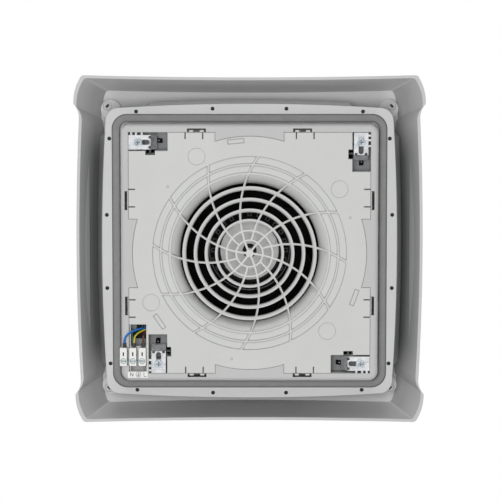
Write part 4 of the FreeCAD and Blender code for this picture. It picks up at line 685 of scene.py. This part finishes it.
# a near-black block fills the mouth of each pole's test slit as painted shadow, a little narrower at the face
SLIT_SHADOW_HALF_W = 0.00075
SLIT_SHADOW_HALF_L = 0.0021
SLIT_MIDDLE = 0.112
SLIT_SHADOW_DEPTH = 0.0012
SLIT_SHADOW_STANDS_OUT = 0.00002
POLE_PITCH = 0.0105
screws_low, screws_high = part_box("terminal_screws")
pole_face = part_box("terminal_block")[0].z
slit_shadows = bmesh.new()
for pole in (-1, 0, 1):
    middle = (screws_low.x + screws_high.x) / 2 + pole * POLE_PITCH
    rings = []
    for across, along, height in ((1.0, 1.0, SLIT_SHADOW_DEPTH), (1.0, 1.0, -SLIT_SHADOW_STANDS_OUT / 2),
                                  (0.96, 0.98, -SLIT_SHADOW_STANDS_OUT)):
        half_w, half_l, level = SLIT_SHADOW_HALF_W * across, SLIT_SHADOW_HALF_L * along, pole_face + height
        rings.append([(middle + x * half_w, SLIT_MIDDLE + y * half_l, level) for x, y in CORNERS])
    skinned(slit_shadows, rings, "closed")
slit_shadow = moulded("painted slit shadow", srgb(18, 18, 19), srgb(12, 12, 13), rough=(0.5, 0.7), wear_and_highlight=0.0,
                        Specular_IOR_Level=0.2)
solid_piece("test_slit_shadows", slit_shadows, slit_shadow, "housing", smooth=False)

# ---------------------------------------------------------------- wires and motor lead
# Three stranded copper wires in PVC, blue, green-yellow and brown, that leave the black
# sheath of the motor lead; the lead comes into the well through a grommet.
blue_pvc = moulded("blue PVC", srgb(22, 108, 186), srgb(16, 96, 172), rough=(0.3, 0.42), radius=0.0002,
                   wear_and_highlight=0.0)
brown_pvc = moulded("brown PVC", srgb(88, 46, 36), srgb(74, 38, 30), rough=(0.3, 0.42), radius=0.0002,
                    wear_and_highlight=0.0)
black_pvc = moulded("black PVC sheath", srgb(36, 36, 38), srgb(26, 26, 28), rough=(0.4, 0.55), radius=0.0003,
                    wear_and_highlight=0.1)

# the yellow stripe lies along the side of the green wire that faces this way
STRIPE_WAY = (0.72, 0.62, -0.3)
earth_pvc, tree, shader = start_finish("green and yellow PVC", Roughness=0.36)
facing = alike(tree, put(tree, "NewGeometry").outputs["Normal"], STRIPE_WAY)
stripe = shaded(tree, ranged(tree, facing, -1.0, 1.0), srgb(30, 132, 66), srgb(240, 196, 30), 0.58, 0.62)
feed(tree, shader, Base_Color=stripe)
dress(blue_pvc, "wire_blue")
dress(brown_pvc, "wire_brown")
dress(earth_pvc, "wire_green_yellow")
dress(black_pvc, "motor_lead", "lead_grommet")

# ---------------------------------------------------------------- cable clamp in the well
# A black nylon clamp over the motor lead in the deep end of the terminal well, with a
# ribbed saddle, an arm that snaps to the well's wall and a loop for a cable tie.
CLAMP_TOP = -0.0063
SADDLE_LOW, SADDLE_HIGH = (-0.1318, 0.0875, -0.0112), (-0.1163, 0.0974, CLAMP_TOP)
ARM_LOW, ARM_HIGH = (-0.1272, 0.0804, -0.0130), (-0.1219, 0.0872, CLAMP_TOP)
RIBS, RIB_PITCH = 4, 0.0036
FIRST_RIB_LOW, FIRST_RIB_HIGH = (-0.1300, 0.0884, -0.0122), (-0.1288, 0.0965, -0.0108)
TIE_LOOP_AT, TIE_LOOP_Z = (-0.1184, 0.0838), -0.0116
TIE_LOOP_R, TIE_LOOP_HALF_T, TIE_LOOP_HALF_H = 0.0017, 0.0006, 0.0014


def rounded_block(skin, low, high, radius):
    """Adds a block with rounded edges to a skin."""
    low, high = Vector(low), Vector(high)
    placed = Matrix.Translation((low + high) / 2) @ Matrix.Diagonal((*(high - low), 1))
    made = bmesh.ops.create_cube(skin, size=1.0, matrix=placed)
    edges = list({edge for corner in made["verts"] for edge in corner.link_edges})
    bmesh.ops.bevel(skin, geom=edges, offset=radius, segments=2, affect="EDGES", profile=0.5)


clamp = bmesh.new()
rounded_block(clamp, SADDLE_LOW, SADDLE_HIGH, 0.0006)
rounded_block(clamp, ARM_LOW, ARM_HIGH, 0.0005)
for rib in range(RIBS):
    along = Vector((rib * RIB_PITCH, 0, 0))
    rounded_block(clamp, Vector(FIRST_RIB_LOW) + along, Vector(FIRST_RIB_HIGH) + along, 0.0003)
tie_loop = bmesh.new()
lathed(tie_loop, oval(TIE_LOOP_R, TIE_LOOP_Z, TIE_LOOP_HALF_T, TIE_LOOP_HALF_H, 10), TIE_LOOP_AT, 36)
clamp_nylon = moulded("black clamp nylon", srgb(20, 20, 21), srgb(12, 12, 13), rough=(0.45, 0.6),
                      radius=0.0003, wear_and_highlight=0.15, Specular_IOR_Level=0.3)
solid_piece("cable_clamp", clamp, clamp_nylon, "housing", smooth=False)
solid_piece("cable_tie_loop", tie_loop, clamp_nylon, "housing")

# ---------------------------------------------------------------- terminal label
# A white film label stuck beside the terminals, printed in black with the three pole marks:
# neutral, earth and line.
INK_T = 0.00003
STROKE = 0.0006
THIN_STROKE = 0.8 * STROKE
MARK_HALF = 0.0021
EARTH_R = 0.0031
MARKS_OFF_MIDDLE = 0.0002
label_film = moulded("white label film", srgb(244, 244, 243), srgb(238, 238, 237), rough=(0.3, 0.4),
                     grain=2000.0, relief=0.00001, wear_and_highlight=0.0)
dress(label_film, "terminal_label")
label_low, label_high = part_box("terminal_label")
mark_y = (label_low.y + label_high.y) / 2 - MARKS_OFF_MIDDLE
INK_LOW, INK_TOP = label_low.z - INK_T, label_low.z + INK_T
marks = bmesh.new()


def stroke(middle_x, start, end, width=STROKE):
    """Adds one printed bar to a mark; its ends are places from the mark's middle, in half marks."""
    start, end = (Vector((middle_x, mark_y)) + Vector(place) * MARK_HALF for place in (start, end))
    along = (end - start).normalized()
    side = Vector((-along.y, along.x)) * width / 2
    block(marks, (start - side, end - side, end + side, start + side), INK_LOW, INK_TOP)


# neutral and line, each a letter; earth, a ring with a stem and three bars in it
label_l = label_high.x - label_low.x
neutral_x, earth_x, line_x = (label_low.x + share * label_l for share in (0.2, 0.54, 0.88))
stroke(neutral_x, (-0.7, 1), (-0.7, -1))
stroke(neutral_x, (-0.7, -1), (0.7, 1))
stroke(neutral_x, (0.7, 1), (0.7, -1))
stroke(line_x, (-0.7, -1), (-0.7, 1))
stroke(line_x, (-0.7, 1), (0.7, 1))
earth_hole_r = EARTH_R - THIN_STROKE
lathed(marks, [(EARTH_R, INK_LOW), (EARTH_R, INK_TOP), (earth_hole_r, INK_TOP), (earth_hole_r, INK_LOW)],
       (earth_x, mark_y))
stroke(earth_x, (0, -0.9), (0, 0.1))
for half_l, up in ((0.9, 0.1), (0.6, 0.45), (0.3, 0.8)):
    stroke(earth_x, (-half_l, up), (half_l, up), THIN_STROKE)
print_ink = moulded("black label ink", srgb(40, 40, 42), srgb(32, 32, 34), rough=(0.45, 0.6), wear_and_highlight=0.0)
solid_piece("pole_marks", marks, print_ink, "housing", smooth=False)

# ---------------------------------------------------------------- studio
# A pale floor under the unit, soft light from above and from below, and a white
# surround. The unit is looked at from below, so the floor shows from its top side only.
FLOOR_REACH = 4.0
FLOOR_GAP = 0.0005
floor_z = cad_box[0].z - FLOOR_GAP
floor_mesh = bpy.data.meshes.new("studio_floor")
floor_mesh.from_pydata([(x * FLOOR_REACH, y * FLOOR_REACH, floor_z) for x, y in CORNERS], [], [(0, 1, 2, 3)])
floor = bpy.data.objects.new("studio_floor", floor_mesh)
bpy.context.scene.collection.objects.link(floor)
paper, tree, shader = start_finish("studio paper", Roughness=0.9)
fibre = mottled(tree, put(tree, "TexCoord").outputs["Object"], 30.0, 4.0)
feed(tree, shader, Base_Color=shaded(tree, fibre, srgb(236, 236, 236), srgb(242, 242, 242)))
seen = put(tree, "LightPath").outputs["Is Camera Ray"]
below = put(tree, "NewGeometry").outputs["Backfacing"]
shown = put(tree, "Math", {"operation": "SUBTRACT", "use_clamp": True}, at0=seen, at1=below).outputs[0]
clear = put(tree, "BsdfTransparent").outputs[0]
either = put(tree, "MixShader", Fac=shown, at1=clear, at2=shader.outputs[0]).outputs[0]
feed(tree, tree.nodes["Material Output"], Surface=either)
floor_mesh.materials.append(paper)

surround = bpy.data.worlds.new("white surround")
bpy.context.scene.world = surround
surround.use_nodes = True
tree = surround.node_tree
rays = put(tree, "LightPath").outputs
straight = reckoned(tree, "MAXIMUM", rays["Is Camera Ray"], rays["Is Glossy Ray"])
clear = reckoned(tree, "MAXIMUM", straight, rays["Is Transmission Ray"])
soft = put(tree, "Background", Color=(1, 1, 1, 1), Strength=0.03)
white = put(tree, "Background", Color=(1, 1, 1, 1), Strength=1.0)
mixed = put(tree, "MixShader", Fac=clear, at1=soft.outputs[0], at2=white.outputs[0])
feed(tree, tree.nodes["World Output"], Surface=mixed.outputs[0])


def hung(name, lamp, towards):
    """Hangs a lamp in the studio, turned to shine along a direction."""
    stand = bpy.data.objects.new(name, lamp)
    stand.rotation_mode = "QUATERNION"
    stand.rotation_quaternion = Vector(towards).to_track_quat("-Z", "Y")
    bpy.context.scene.collection.objects.link(stand)
    return stand


SOFTBOX_PLACE = Vector((-0.16, -0.12, -2.0))
softbox = bpy.data.lights.new("softbox_below", "AREA")
softbox.energy, softbox.size, softbox.shape = 29.0, 0.8, "DISK"
stand = hung("softbox_below", softbox, -SOFTBOX_PLACE)
stand.location = SOFTBOX_PLACE
stand.visible_glossy = False

# wide, distant lamps: the way each one shines, its strength and its spread in degrees
for name, towards, strength, spread in (("lamp_below_rear", (0.0, -0.9, 1.2), 0.45, 30),
                                        ("lamp_below_front", (0.0, 1.0, 0.8), 0.5, 30),
                                        ("lamp_above", (-0.35, 0.55, -1.0), 3.0, 40),
                                        ("lamp_side", (-1.0, -0.6, -0.35), 0.6, 60),
                                        ("lamp_other_side", (1.0, 0.7, -0.4), 0.9, 60)):
    lamp = bpy.data.lights.new(name, "SUN")
    lamp.energy, lamp.angle = strength, math.radians(spread)
    hung(name, lamp, towards)

# ---------------------------------------------------------------- camera
# A long lens straight below the unit, a little towards its front, and far enough away
# that the deep parts look hardly smaller than the near ones.
CAMERA_AIM = Vector((0.0005, 0.0, 0.021))
CAMERA_ELEVATION = math.radians(-85.3)
CAMERA_DISTANCE = 2.156
camera = bpy.data.objects.new("camera", bpy.data.cameras.new("camera"))
bpy.context.scene.collection.objects.link(camera)
bpy.context.scene.camera = camera
back = Vector((0, -math.cos(CAMERA_ELEVATION), math.sin(CAMERA_ELEVATION)))
camera.data.sensor_width, camera.data.lens = 36.0, 136.0
camera.rotation_mode = "QUATERNION"
camera.location = CAMERA_AIM + back * CAMERA_DISTANCE
camera.rotation_quaternion = (-back).to_track_quat("-Z", "Y")
bpy.context.scene.view_settings.view_transform = "Standard"
